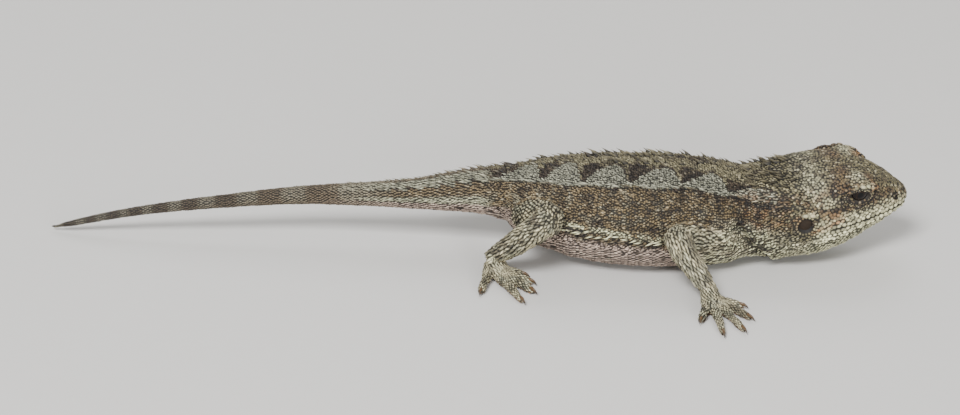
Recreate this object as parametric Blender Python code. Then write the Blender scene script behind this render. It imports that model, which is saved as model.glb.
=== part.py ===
"""A mountain dragon, a small stout lizard, as a life-size display model.

It lies on its belly and four feet with its head turned and its tail held out behind, tip to the floor.
X runs from tail to head, +Y is its left side, and the floor is at z = 0 under the belly.
"""

import math
import random

import bmesh
import bpy
import numpy as np
from mathutils import Matrix, Vector

MM = 0.001
GAP = 0.3 * MM  # between one piece and the next

# Head: where the snout's tip is, how the head is turned, and its sizes back from the snout.
SNOUT = Vector((53.4, 4.0, 12.3)) * MM
HEAD_YAW, HEAD_PITCH, HEAD_ROLL = (math.radians(a) for a in (12, 5, 11))
HEAD_LENGTH = 25 * MM
HEAD_SECTIONS = (  # mm: back from the snout, half width, crown, throat, and how square the crown is
    (0.0, 1.0, 0.1, -1.4, 2.0),
    (0.7, 2.5, 1.1, -2.4, 2.2),
    (3.0, 4.2, 2.6, -4.1, 2.6),
    (6.0, 5.7, 4.4, -6.0, 3.0),
    (9.5, 7.0, 6.0, -8.0, 3.2),
    (12.5, 8.0, 6.9, -9.6, 3.2),
    (17.0, 9.3, 7.0, -11.3, 2.8),
    (21.0, 9.8, 6.4, -12.6, 2.5),
    (25.0, 9.7, 5.6, -13.3, 2.3),
)
# Neck, trunk and tail: the middle of each section, its half width, height and depth, and its roll.
BODY_SECTIONS = (  # mm: x, y, z, half width, height above, depth below, roll in degrees
    (24.6, -0.7, 10.4, 9.1, 8.9, 9.8, 9),
    (21.0, -0.8, 10.1, 9.1, 8.5, 9.0, 6),
    (17.0, -0.7, 10.1, 10.8, 8.8, 10.1, 4),
    (10.0, -0.4, 10.2, 12.5, 9.7, 10.4, 1),
    (0.0, 0.0, 10.2, 13.2, 10.0, 10.5, 0),
    (-10.0, 1.2, 10.2, 12.5, 9.5, 9.9, 0),
    (-16.0, 2.2, 10.3, 11.2, 8.8, 8.7, 0),
    (-21.0, 3.2, 10.8, 9.3, 7.7, 7.3, 0),
    (-26.0, 4.3, 11.4, 6.3, 5.5, 5.3, 0),
    (-32.0, 5.0, 11.5, 4.7, 4.5, 4.4, 0),
    (-38.2, 5.3, 11.1, 3.9, 3.8, 3.8, 0),
    (-46.4, 5.7, 10.5, 2.95, 2.9, 2.9, 0),
    (-54.8, 6.4, 10.1, 2.45, 2.4, 2.4, 0),
    (-68.0, 7.4, 9.4, 1.95, 1.9, 1.9, 0),
    (-85.6, 7.9, 7.6, 1.45, 1.4, 1.4, 0),
    (-102.8, 8.9, 4.9, 1.1, 1.05, 1.05, 0),
    (-114.4, 9.9, 2.1, 0.9, 0.85, 0.85, 0),
    (-119.6, 10.7, 0.65, 0.45, 0.45, 0.45, 0),
)
BACK_ROUND, BELLY_ROUND = 2.15, 2.6  # 2 is an ellipse, and more is squarer
NECK_END_X = 21.0 * MM
TAIL_START_X = -25.5 * MM
TAIL_CUTS_X = (-47 * MM, -70 * MM, -95 * MM)
HEAD_MESH, NECK_MESH, TORSO_MESH = (22, 26), (8, 26), (30, 30)  # rings along each length, and points round it
TAIL_MESHES = ((14, 18), (12, 14), (10, 12), (12, 10))

# Eyes: places are back from the snout, out to the side and up, in the head's own directions.
EYE_PLACE = Vector((13.1, 5.4, 3.6)) * MM
EYE_RADIUS = 2.4 * MM
LID_RADIUS = 3.2 * MM
EYE_OPENING = Vector((2.0, 1.3)) * MM
BROW_DOME = Vector((13.6, 4.3, 3.9)) * MM
BROW_RADII = Vector((4.4, 3.0, 3.0)) * MM
BROW_RIDGE = (  # mm: back, out and up along the raised edge over the eye, and its radius
    (8.0, 5.1, 3.9, 0.3),
    (10.3, 6.3, 4.9, 0.7),
    (13.0, 7.0, 5.3, 0.85),
    (15.8, 7.5, 4.8, 0.7),
    (18.4, 8.0, 3.8, 0.3),
)
NOSTRIL_PLACE = Vector((3.7, 4.1, 0.8)) * MM
NOSTRIL_RADIUS = 0.5 * MM
EAR_PLACE = Vector((23.6, 9.5, -2.2)) * MM
EAR_RADIUS = 1.6 * MM
EAR_DEPTH = 0.5 * MM
MOUTH_FRONT, MOUTH_CORNER = Vector((0.0, -0.9)) * MM, Vector((18.0, -3.4)) * MM
LIP_RADIUS = 0.6 * MM
LIP_STATIONS = (0.03, 0.12, 0.25, 0.45, 0.65, 0.85, 1.0)  # shares of the way from the snout to the corner

# Limbs: each joint's place for the right side as seen, and the limb's radius there.
ARM_RADII = (3.3 * MM, 2.75 * MM, 2.15 * MM, 1.45 * MM)
LEG_RADII = (4.0 * MM, 3.0 * MM, 2.5 * MM, 1.55 * MM)
RIGHT_ARM = tuple(Vector(p) * MM for p in ((16.2, -8.0, 7.2), (5.4, -15.0, 11.2), (12.4, -22.0, 2.3)))
LEFT_ARM = tuple(Vector(p) * MM for p in ((16.0, 7.4, 7.2), (8.0, 16.4, 9.6), (16.5, 22.0, 2.3)))
RIGHT_LEG = tuple(Vector(p) * MM for p in ((-22.5, -2.5, 9.8), (-17.6, -12.2, 13.4), (-30.0, -9.6, 3.3)))
LEFT_LEG = tuple(Vector(p) * MM for p in ((-22.0, 8.5, 9.6), (-12.8, 18.2, 11.2), (-22.5, 20.8, 3.3)))
HAND_REACH = tuple(r * MM for r in (6.6, 10.2, 13.4, 13.8, 8.8))
HAND_SPREAD = (64, 40, 20, 2, -20)
FOOT_REACH = tuple(r * MM for r in (7.0, 9.4, 12.0, 14.2, 9.2))
FOOT_SPREAD = (30, 14, -2, -20, -58)
FINGER_RADIUS = 0.8 * MM
TOE_RADIUS = 0.85 * MM
CLAW_LENGTH = 2.0 * MM
DIGIT_STATIONS = (0.04, 0.36, 0.62, 0.84, 1.0)  # shares of a digit's reach, and its thickness at each
DIGIT_SHAPE = (1.25, 1.2, 1.0, 0.92, 0.62)
CLAW_BENDS = ((0.0, 0.8), (0.35, 0.95), (0.7, 0.72), (1.0, 0.1))  # share of its length, and height in radii
CLAW_SHAPE = (0.62, 0.55, 0.38, 0.12)

# Spines: how long, how thick at the skin, and how far their roots are sunk.
SPINE_ROOT = 0.68 * MM
SPINE_SUNK = 0.7 * MM
SPINE_LEAN = math.radians(52)
BACK_TURN = math.radians(14)  # the ridge of the back lies this far to the animal's left of the top
CREST_SPINES = 24
NUCHAL_CREST = ((27.3, 1.7), (26.0, 2.2), (24.6, 1.9), (23.1, 1.4))  # mm: x and length of each
NECK_SPINES = (  # x in mm, degrees down from the top, and length in mm
    (26.5, 24, 1.6),
    (24.2, 27, 1.5),
    (25.6, 46, 1.6),
    (23.4, 50, 1.3),
    (26.2, 68, 1.3),
)
SPINE_ROWS = (  # degrees down from the ridge of the back, number of spines, length in mm
    (13, 15, 2.0),
    (27, 16, 1.5),
    (41, 16, 1.8),
    (57, 12, 1.2),
)
FOLD_SPINES = 10
FOLD_FROM, FOLD_TO = (4.0, 95), (-12.0, 91)  # x in mm and degrees down from the top at each end of the fold
TAIL_SPINE_ROWS = ((12, 10), (38, 11), (66, 10))  # degrees down from the ridge and number of spines
RANDOM = random.Random(7)

SKIN_BACK = (0.165, 0.135, 0.085)
SKIN_PALE = (0.36, 0.345, 0.29)
SKIN_HEAD = (0.24, 0.22, 0.15)
EYE_DARK = (0.02, 0.014, 0.01)


def clear_scene():
    """Removes whatever the file holds."""
    for thing in list(bpy.data.objects):
        bpy.data.objects.remove(thing, do_unlink=True)


def skin_material(name, colour, roughness=0.75):
    """One plain finish."""
    material = bpy.data.materials.new(name)
    material.use_nodes = True
    shader = material.node_tree.nodes["Principled BSDF"]
    shader.inputs["Base Color"].default_value = (*colour, 1)
    shader.inputs["Roughness"].default_value = roughness
    shader.inputs["Metallic"].default_value = 0.0
    return material


def smooth(keys, values, at):
    """The value at a place between keys, on a cubic that never overshoots them."""
    step = np.diff(keys)
    slope = np.diff(values) / step
    tangent = np.empty(len(keys))
    tangent[0], tangent[-1] = slope[0], slope[-1]
    for i in range(1, len(keys) - 1):
        before, after = slope[i - 1], slope[i]
        tangent[i] = 0.0 if before * after <= 0 else 2 * before * after / (before + after)
    i = int(np.clip(np.searchsorted(keys, at) - 1, 0, len(step) - 1))
    t = (at - keys[i]) / step[i]
    return (
        values[i] * (1 + 2 * t) * (1 - t) ** 2
        + values[i + 1] * t * t * (3 - 2 * t)
        + step[i] * t * (1 - t) * (tangent[i] * (1 - t) - tangent[i + 1] * t)
    )


class Sweep:
    """A rounded body of changing section along a smooth line."""

    def __init__(self, points, wide, high, deep=None, roll=None, crown=None, belly=2.0):
        self.points = np.array([tuple(p) for p in points])
        steps = np.linalg.norm(np.diff(self.points, axis=0), axis=1)
        self.keys = np.concatenate([[0.0], np.cumsum(steps)])
        self.length = self.keys[-1]
        self.wide, self.high = np.array(wide), np.array(high)
        self.deep = self.high if deep is None else np.array(deep)
        self.roll = np.zeros(len(self.keys)) if roll is None else np.array(roll)
        self.crown = np.full(len(self.keys), 2.0) if crown is None else np.array(crown)
        self.belly = belly

    def centre(self, s):
        """The middle of the section at a distance along the line."""
        return Vector([smooth(self.keys, self.points[:, i], s) for i in range(3)])

    def frame(self, s):
        """The line's direction there, and the section's left and up."""
        d = self.length * 0.004
        s = min(max(s, d), self.length - d)
        ahead = (self.centre(s - d) - self.centre(s + d)).normalized()
        left = Vector((0, 0, 1)).cross(ahead)
        left = left.normalized() if left.length > 1e-3 else Vector((0, 1, 0))
        up = ahead.cross(left)
        roll = smooth(self.keys, self.roll, s)
        turned = left * math.cos(roll) + up * math.sin(roll)
        return ahead, turned, up * math.cos(roll) - left * math.sin(roll)

    def point(self, s, angle, grow=0.0):
        """A point of the surface: the angle is 0 at the left, and a quarter turn at the top."""
        _, left, up = self.frame(s)
        wide = smooth(self.keys, self.wide, s) + grow
        over = math.sin(angle) >= 0
        high = smooth(self.keys, self.high if over else self.deep, s) + grow
        power = 2 / (smooth(self.keys, self.crown, s) if over else self.belly)
        across = math.copysign(abs(math.cos(angle)) ** power, math.cos(angle))
        rise = math.copysign(abs(math.sin(angle)) ** power, math.sin(angle))
        return self.centre(s) + left * wide * across + up * high * rise

    def normal(self, s, angle):
        """The way out of the surface at a point."""
        d = self.length * 0.002
        along = self.point(s + d, angle) - self.point(s - d, angle)
        around = self.point(s, angle + 0.02) - self.point(s, angle - 0.02)
        out = along.cross(around).normalized()
        return out if out.dot(self.point(s, angle) - self.centre(s)) > 0 else -out

    def solid(self, name, start, end, rings, sides, grow=0.0):
        """The closed solid between two places along the line."""
        shape = bmesh.new()
        loops = []
        for s in np.linspace(start, end, rings):
            turn = 2 * math.pi / sides
            loops.append([shape.verts.new(self.point(s, (k + 0.5) * turn, grow)) for k in range(sides)])
        for one, two in zip(loops, loops[1:]):
            for k in range(sides):
                shape.faces.new((one[k], one[(k + 1) % sides], two[(k + 1) % sides], two[k]))
        shape.faces.new(loops[0])
        shape.faces.new(loops[-1])
        return finished(name, shape)


def finished(name, shape):
    """An object from a closed shape, in triangles that face outward."""
    bmesh.ops.triangulate(shape, faces=shape.faces)
    bmesh.ops.recalc_face_normals(shape, faces=shape.faces)
    if shape.calc_volume(signed=True) < 0:
        bmesh.ops.reverse_faces(shape, faces=shape.faces)
    mesh = bpy.data.meshes.new(name)
    shape.to_mesh(mesh)
    shape.free()
    made = bpy.data.objects.new(name, mesh)
    bpy.context.scene.collection.objects.link(made)
    return made


def ellipsoid(name, centre, radii, axes=None, detail=2):
    """A closed egg, with its three radii along the given directions."""
    shape = bmesh.new()
    bmesh.ops.create_icosphere(shape, subdivisions=detail, radius=1)
    turn = Matrix.Identity(3) if axes is None else Matrix(axes).transposed()
    for vert in shape.verts:
        vert.co = centre + turn @ Vector([c * r for c, r in zip(vert.co, radii)])
    return finished(name, shape)


def block(name, corners):
    """A closed block from four corners of its floor and the four above them."""
    shape = bmesh.new()
    verts = [shape.verts.new(c) for c in corners]
    for face in ((0, 1, 2, 3), (4, 5, 6, 7), (0, 1, 5, 4), (1, 2, 6, 5), (2, 3, 7, 6), (3, 0, 4, 7)):
        shape.faces.new([verts[i] for i in face])
    return finished(name, shape)


def apply_boolean(target, operation, pieces, solver="EXACT"):
    """Joins pieces to a target, or cuts them from it, and removes them."""
    group = bpy.data.collections.new("pieces")
    for piece in pieces:
        group.objects.link(piece)
    cut = target.modifiers.new("cut", "BOOLEAN")
    cut.operation = operation
    cut.solver = solver
    cut.operand_type = "COLLECTION"
    cut.collection = group
    view = bpy.context.evaluated_depsgraph_get()
    mesh = bpy.data.meshes.new_from_object(target.evaluated_get(view))
    target.modifiers.clear()
    target.data = mesh
    for piece in pieces:
        bpy.data.objects.remove(piece, do_unlink=True)
    bpy.data.collections.remove(group)
    keep_largest(target)
    return target


def keep_largest(thing):
    """Leaves only the largest closed surface of a mesh."""
    shape = bmesh.new()
    shape.from_mesh(thing.data)
    unseen, parts = set(shape.verts), []
    while unseen:
        part, edge_of = set(), [unseen.pop()]
        while edge_of:
            vert = edge_of.pop()
            part.add(vert)
            for edge in vert.link_edges:
                other = edge.other_vert(vert)
                if other in unseen:
                    unseen.remove(other)
                    edge_of.append(other)
        parts.append(part)
    parts.sort(key=len)
    for part in parts[:-1]:
        bmesh.ops.delete(shape, geom=list(part), context="VERTS")
    shape.to_mesh(thing.data)
    shape.free()


def trim(thing, place, away):
    """Cuts a mesh at a plane, takes off the side that lies away, and closes the cut."""
    shape = bmesh.new()
    shape.from_mesh(thing.data)
    whole = shape.verts[:] + shape.edges[:] + shape.faces[:]
    bmesh.ops.bisect_plane(shape, geom=whole, dist=1e-7, plane_co=place, plane_no=away, clear_outer=True)
    rim = [edge for edge in shape.edges if edge.is_boundary]
    bmesh.ops.holes_fill(shape, edges=rim, sides=0)
    bmesh.ops.triangulate(shape, faces=shape.faces)
    bmesh.ops.recalc_face_normals(shape, faces=shape.faces)
    shape.to_mesh(thing.data)
    shape.free()
    keep_largest(thing)


def flatten_base(thing):
    """Cuts off what lies under the floor, which leaves small flats to rest on."""
    trim(thing, Vector((0, 0, 0)), Vector((0, 0, -1)))


def finish(thing, material):
    """Gives a node its finish and its smooth shading."""
    thing.data.materials.clear()
    thing.data.materials.append(material)
    thing.data.shade_smooth()
    thing.data.set_sharp_from_angle(angle=math.radians(35))
    return thing


def head_directions():
    """The head's own directions: forward, left and up."""
    turn = Matrix.Rotation(HEAD_YAW, 3, "Z") @ Matrix.Rotation(HEAD_PITCH, 3, "Y")
    turn = turn @ Matrix.Rotation(HEAD_ROLL, 3, "X")
    return turn.col[0].copy(), turn.col[1].copy(), turn.col[2].copy()


def head_point(back, left, up):
    """A place by its distance back from the snout, to the left and up."""
    ahead, aside, above = head_directions()
    return SNOUT - ahead * back + aside * left + above * up


def body_sweep():
    """The whole body's line and sections, from the snout to the tail's tip."""
    points, wide, high, deep, roll, square = [], [], [], [], [], []
    for back, half, crown, throat, corner in HEAD_SECTIONS:
        points.append(head_point(back * MM, 0, (crown + throat) / 2 * MM))
        wide.append(half * MM)
        high.append((crown - throat) / 2 * MM)
        deep.append((crown - throat) / 2 * MM)
        roll.append(HEAD_ROLL)
        square.append(corner)
    for x, y, z, half, above, below, turned in BODY_SECTIONS:
        points.append(Vector((x, y, z)) * MM)
        wide.append(half * MM)
        high.append(above * MM)
        deep.append(below * MM)
        roll.append(math.radians(turned))
        square.append(BACK_ROUND)
    return Sweep(points, wide, high, deep, roll, square, BELLY_ROUND)


def place_at_x(sweep, x):
    """How far along a line that runs towards -X it passes a given x."""
    near, far = 0.0, sweep.length
    for _ in range(40):
        middle = (near + far) / 2
        near, far = (middle, far) if sweep.centre(middle).x > x else (near, middle)
    return near


def spine(sweep, s, angle, length, lean=SPINE_LEAN):
    """One four-sided spine on a sweep's surface, leaning towards the tail."""
    out = sweep.normal(s, angle)
    ahead = sweep.frame(s)[0]
    back = (-ahead - out * -ahead.dot(out)).normalized()
    side = out.cross(back)
    root = sweep.point(s, angle) - out * SPINE_SUNK
    tip = sweep.point(s, angle) + (out * math.cos(lean) + back * math.sin(lean)) * length
    shape = bmesh.new()
    base = []
    for along, across in ((1.25, 0), (0, 0.8), (-1.25, 0), (0, -0.8)):
        base.append(shape.verts.new(root + (back * along + side * across) * SPINE_ROOT))
    top = shape.verts.new(tip)
    shape.faces.new(base)
    for k in range(4):
        shape.faces.new((base[k], base[(k + 1) % 4], top))
    return finished("spine", shape)


def head_and_jaw(body):
    """The head with its brows, lids, nostrils and ears, and the lower jaw parted from it at the mouth."""
    end = HEAD_LENGTH - GAP / 2
    head = body.solid("head", 0.0, end, *HEAD_MESH)
    ahead, aside, above = head_directions()
    axes = (ahead, aside, above)
    lumps, cuts = [], []
    for side in (1, -1):
        eye = head_point(EYE_PLACE.x, side * EYE_PLACE.y, EYE_PLACE.z)
        lumps.append(ellipsoid("lids", eye, (LID_RADIUS,) * 3, axes))
        brow = head_point(BROW_DOME.x, side * BROW_DOME.y, BROW_DOME.z)
        lumps.append(ellipsoid("brow", brow, BROW_RADII, axes))
        lumps.append(brow_ridge(side))
        lumps.append(lip(body, side))
    apply_boolean(head, "UNION", lumps)
    for side in (1, -1):
        eye = head_point(EYE_PLACE.x, side * EYE_PLACE.y, EYE_PLACE.z)
        cuts.append(ellipsoid("socket", eye, (EYE_RADIUS + GAP,) * 3, axes))
        cuts.append(eye_opening(side))
        nostril = head_point(NOSTRIL_PLACE.x, side * NOSTRIL_PLACE.y, NOSTRIL_PLACE.z)
        cuts.append(ellipsoid("nostril", nostril, (NOSTRIL_RADIUS,) * 3, axes, 1))
        cuts.append(ear_drum(side))
    apply_boolean(head, "DIFFERENCE", cuts)
    jaw = head.copy()
    jaw.data = head.data.copy()
    jaw.name = "lower_jaw"
    bpy.context.scene.collection.objects.link(jaw)
    apply_boolean(jaw, "INTERSECT", [mouth_block(0.0)])
    apply_boolean(head, "DIFFERENCE", [mouth_block(GAP)])
    return head, jaw


def brow_ridge(side):
    """The raised edge over one eye."""
    points = [head_point(back * MM, side * out * MM, up * MM) for back, out, up, _ in BROW_RIDGE]
    radii = [row[3] * MM for row in BROW_RIDGE]
    ridge = Sweep(points, radii, radii)
    return ridge.solid("ridge", 0, ridge.length, 9, 8)


def mouth_height(back):
    """How high the line of the mouth is, so far back from the snout."""
    front, corner = MOUTH_FRONT, MOUTH_CORNER
    return front.y + (corner.y - front.y) / (corner.x - front.x) * (back - front.x)


def lip(body, side):
    """The raised edge of the lips on one side, which the mouth parts into an upper and a lower one."""
    points, radii = [], []
    for share in LIP_STATIONS:
        back = MOUTH_CORNER.x * share
        wide = smooth(body.keys, body.wide, back)
        points.append(head_point(back, side * (wide - LIP_RADIUS * 0.45), mouth_height(back)))
        radii.append(LIP_RADIUS * (0.6 if share in (LIP_STATIONS[0], LIP_STATIONS[-1]) else 1.0))
    line = Sweep(points, radii, radii)
    return line.solid("lip", 0, line.length, 10, 8)


def eye_opening(side):
    """The almond opening between the lids, from the eye's middle outward."""
    ahead, aside, above = head_directions()
    eye = head_point(EYE_PLACE.x, side * EYE_PLACE.y, EYE_PLACE.z)
    shape = bmesh.new()
    rims = []
    for out in (1.0 * MM, 5.0 * MM):
        rim = []
        for k in range(12):
            angle = 2 * math.pi * k / 12
            height = EYE_OPENING.y * math.sin(angle) * (0.75 + 0.25 * abs(math.sin(angle)))
            place = eye + aside * side * out + ahead * EYE_OPENING.x * math.cos(angle) + above * height
            rim.append(shape.verts.new(place))
        rims.append(rim)
    for k in range(12):
        j = (k + 1) % 12
        shape.faces.new((rims[0][k], rims[0][j], rims[1][j], rims[1][k]))
    shape.faces.new(rims[0])
    shape.faces.new(rims[1])
    return finished("opening", shape)


def ear_drum(side):
    """The shallow round pit of one ear."""
    ahead, aside, above = head_directions()
    ear = head_point(EAR_PLACE.x, side * EAR_PLACE.y, EAR_PLACE.z)
    return ellipsoid("ear", ear + aside * side * 0.6 * MM, (EAR_RADIUS, EAR_DEPTH + 0.6 * MM, EAR_RADIUS),
                     (ahead, aside, above))


def mouth_block(grow):
    """What lies under the line of the mouth, ahead of its corner."""
    back, start, side, under = MOUTH_CORNER.x + grow, -4 * MM, 14 * MM, -20 * MM
    corners = []
    for lid in (True, False):
        for x, y in ((start, side), (start, -side), (back, -side), (back, side)):
            corners.append(head_point(x, y, mouth_height(x) + grow if lid else under))
    return block("mouth", corners)


def torso_spines(body):
    """Low crest along the ridge of the back, rows either side of it, and the fold along each flank."""
    first, last = place_at_x(body, 18.5 * MM), place_at_x(body, -23.5 * MM)
    made, ridge = [], math.pi / 2 - BACK_TURN
    for s in np.linspace(first, last, CREST_SPINES):
        made.append(spine(body, s, ridge, RANDOM.uniform(1.1, 1.7) * MM))
    for down, count, length in SPINE_ROWS:
        for side in (1, -1):
            for s in np.linspace(first, last, count):
                s += RANDOM.uniform(-0.6, 0.6) * MM
                if clear_of_limbs(body.centre(s).x, down):
                    tilt = math.radians(down + RANDOM.uniform(-3, 3))
                    made.append(spine(body, s, ridge - side * tilt, length * RANDOM.uniform(0.8, 1.15) * MM))
    places = [place_at_x(body, x * MM) for x in np.linspace(FOLD_FROM[0], FOLD_TO[0], FOLD_SPINES)]
    for side in (1, -1):
        for s, down in zip(places, np.linspace(FOLD_FROM[1], FOLD_TO[1], FOLD_SPINES)):
            angle = math.pi / 2 - side * math.radians(down)
            made.append(spine(body, s, angle, RANDOM.uniform(1.4, 1.8) * MM))
    return made


def clear_of_limbs(x, down):
    """True where a spine so far down the flank keeps clear of the arms and thighs."""
    return down < 50 or (-12 * MM < x < 5 * MM)


def tail_spines(body):
    """Rows of keeled spines on the root of the tail, smaller towards its end."""
    first, last = place_at_x(body, -26.8 * MM), place_at_x(body, -46 * MM)
    made = []
    for down, count in TAIL_SPINE_ROWS:
        for side in (1, -1):
            for i, s in enumerate(np.linspace(first, last, count)):
                length = (1.5 - 0.8 * i / count) * MM
                made.append(spine(body, s, math.pi / 2 - BACK_TURN / 2 - side * math.radians(down), length))
    return made


def neck_spines(body):
    """The short nuchal crest, and spines over the shoulder of the neck."""
    made = []
    for x, length in NUCHAL_CREST:
        made.append(spine(body, place_at_x(body, x * MM), math.pi / 2, length * MM))
    for side in (1, -1):
        for x, down, length in NECK_SPINES:
            angle = math.pi / 2 - side * math.radians(down)
            made.append(spine(body, place_at_x(body, x * MM), angle, length * MM))
    return made


def limb_sweep(joints, radii):
    """An upper limb and lower limb in one bent line, thickest at the muscle of each."""
    root, bend, end = joints
    above, below = root.lerp(bend, 0.74), bend.lerp(end, 0.26)
    inside = (above + below) / 2
    points = [root, root.lerp(bend, 0.4), above, bend.lerp(inside, 0.42), below, bend.lerp(end, 0.6), end]
    thick = (radii[0], radii[0] * 0.98, radii[1], radii[1] * 0.97, radii[1] * 0.95, radii[2], radii[3])
    return Sweep(points, thick, [t * 0.93 for t in thick])


def limb(body, names, joints, radii, material):
    """The two lengths of a limb above its hand or foot, cut clear of the trunk."""
    line = limb_sweep(joints, radii)
    bend = line.keys[3]
    joint, down = line.centre(bend), -line.frame(bend)[0]
    upper = line.solid(names[0], 0.0, bend + MM, 13, 12)
    lower = line.solid(names[1], bend - MM, line.length - GAP / 2, 12, 12)
    trim(upper, joint - down * GAP / 2, down)
    trim(lower, joint + down * GAP / 2, -down)
    trunk = body.solid("trunk", place_at_x(body, 26 * MM), place_at_x(body, -42 * MM), 60, 44, GAP)
    apply_boolean(upper, "DIFFERENCE", [trunk])
    finish(upper, material)
    finish(lower, material)
    return line


def digit(root, heading, reach, radius, lift):
    """One finger or toe from the wrist or ankle to its nail, with its knuckle raised."""
    along = Vector((math.cos(heading), math.sin(heading), 0))
    base = Vector((root.x, root.y, 0))
    heights = (root.z * 0.8, lift, lift * 1.05, radius * 0.84, radius * 0.5)
    points = []
    for share, height in zip(DIGIT_STATIONS, heights):
        points.append(base + along * reach * share + Vector((0, 0, height)))
    radii = [radius * share for share in DIGIT_SHAPE]
    line = Sweep(points, radii, radii)
    return line.solid("digit", 0, line.length, 7, 7)


def claw(root, heading, reach, radius):
    """One hooked nail on the end of a digit."""
    along = Vector((math.cos(heading), math.sin(heading), 0))
    base = Vector((root.x, root.y, 0)) + along * (reach - radius)
    points = []
    for far, high in CLAW_BENDS:
        points.append(base + along * CLAW_LENGTH * far + Vector((0, 0, high * radius + 0.1 * MM)))
    radii = [radius * share for share in CLAW_SHAPE]
    line = Sweep(points, [r * 0.8 for r in radii], radii)
    return line.solid("claw", 0, line.length, 4, 5)


def hand_or_foot(name, line, heading, side, reaches, spread, radius, wrist, material):
    """A palm or sole with five clawed digits, flat where it meets the floor."""
    end = line.centre(line.length)
    start = line.centre(line.length - 1.0 * MM)
    facing = Vector((math.cos(heading), math.sin(heading), 0))
    middle = Vector((end.x, end.y, 0)) + facing * reaches[2] * 0.2 + Vector((0, 0, wrist * 0.92))
    far = Vector((end.x, end.y, 0)) + facing * reaches[2] * 0.4 + Vector((0, 0, wrist * 0.68))
    wide, high = (wrist, wrist * 1.55, wrist * 1.15), (wrist * 0.93, wrist * 0.85, wrist * 0.5)
    palm = Sweep([start, middle, far], wide, high)
    whole = palm.solid(name, 0.0, palm.length, 6, 12)
    pieces = []
    for reach, turn in zip(reaches, spread):
        pointing = heading - side * math.radians(turn)
        pieces.append(digit(end, pointing, reach, radius, wrist * 0.62))
        pieces.append(claw(end, pointing, reach, radius))
    apply_boolean(whole, "UNION", pieces)
    apply_boolean(whole, "DIFFERENCE", [line.solid("limb", line.keys[3], line.length + GAP / 2, 12, 14, GAP)])
    flatten_base(whole)
    return finish(whole, material)


def build_limbs(body, material):
    """Both arms and both legs, each in three pieces."""
    for side, label, arm, leg, arm_heading, leg_heading in (
        (-1, "right", RIGHT_ARM, RIGHT_LEG, -86, -44),
        (1, "left", LEFT_ARM, LEFT_LEG, 52, 48),
    ):
        line = limb(body, (f"{label}_upper_arm", f"{label}_forearm"), arm, ARM_RADII, material)
        hand_or_foot(f"{label}_hand", line, math.radians(arm_heading), side, HAND_REACH, HAND_SPREAD,
                     FINGER_RADIUS, ARM_RADII[3], material)
        line = limb(body, (f"{label}_thigh", f"{label}_shin"), leg, LEG_RADII, material)
        hand_or_foot(f"{label}_foot", line, math.radians(leg_heading), side, FOOT_REACH, FOOT_SPREAD,
                     TOE_RADIUS, LEG_RADII[3], material)


def build_eyes(material):
    """The two eyeballs in their sockets."""
    for side, label in ((-1, "right"), (1, "left")):
        eye = head_point(EYE_PLACE.x, side * EYE_PLACE.y, EYE_PLACE.z)
        finish(ellipsoid(f"{label}_eye", eye, (EYE_RADIUS,) * 3, head_directions()), material)


def main():
    """Builds every node."""
    clear_scene()
    back = skin_material("back skin", SKIN_BACK)
    pale = skin_material("limb skin", SKIN_PALE)
    brown = skin_material("head skin", SKIN_HEAD)
    dark = skin_material("eye", EYE_DARK, 0.08)
    body = body_sweep()
    for made in head_and_jaw(body):
        finish(made, brown)
    build_eyes(dark)
    neck_end = place_at_x(body, NECK_END_X)
    tail_start = place_at_x(body, TAIL_START_X)
    neck = body.solid("neck", HEAD_LENGTH + GAP / 2, neck_end - GAP / 2, *NECK_MESH)
    finish(apply_boolean(neck, "UNION", neck_spines(body)), brown)
    torso = body.solid("torso", neck_end + GAP / 2, tail_start - GAP / 2, *TORSO_MESH)
    apply_boolean(torso, "UNION", torso_spines(body))
    flatten_base(torso)
    finish(torso, back)
    ends = [tail_start] + [place_at_x(body, x) for x in TAIL_CUTS_X] + [body.length]
    for i, (start, end, mesh_size) in enumerate(zip(ends, ends[1:], TAIL_MESHES)):
        at_tip = i == len(TAIL_CUTS_X)
        last = end if at_tip else end - GAP / 2
        piece = body.solid(f"tail_{i + 1}", start + GAP / 2, last, *mesh_size)
        if i == 0:
            apply_boolean(piece, "UNION", tail_spines(body))
        if at_tip:
            flatten_base(piece)
        finish(piece, back)
    build_limbs(body, pale)


main()
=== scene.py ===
import math

import bmesh
import bpy
import numpy as np
from mathutils import Matrix, Vector, kdtree, noise
from mathutils.bvhtree import BVHTree


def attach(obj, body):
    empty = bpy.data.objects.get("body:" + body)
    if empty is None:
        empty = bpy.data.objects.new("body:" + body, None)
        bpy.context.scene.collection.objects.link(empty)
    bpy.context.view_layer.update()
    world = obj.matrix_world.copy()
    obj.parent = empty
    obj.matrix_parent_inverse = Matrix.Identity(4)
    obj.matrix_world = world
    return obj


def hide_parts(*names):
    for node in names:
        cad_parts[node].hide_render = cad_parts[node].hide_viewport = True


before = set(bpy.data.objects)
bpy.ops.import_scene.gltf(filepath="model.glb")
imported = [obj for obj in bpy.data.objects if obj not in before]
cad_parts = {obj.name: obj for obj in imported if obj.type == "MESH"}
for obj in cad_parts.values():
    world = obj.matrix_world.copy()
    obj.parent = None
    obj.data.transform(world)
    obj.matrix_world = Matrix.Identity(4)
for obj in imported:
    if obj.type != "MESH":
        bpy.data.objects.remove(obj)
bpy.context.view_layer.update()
MM = 0.001

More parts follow.
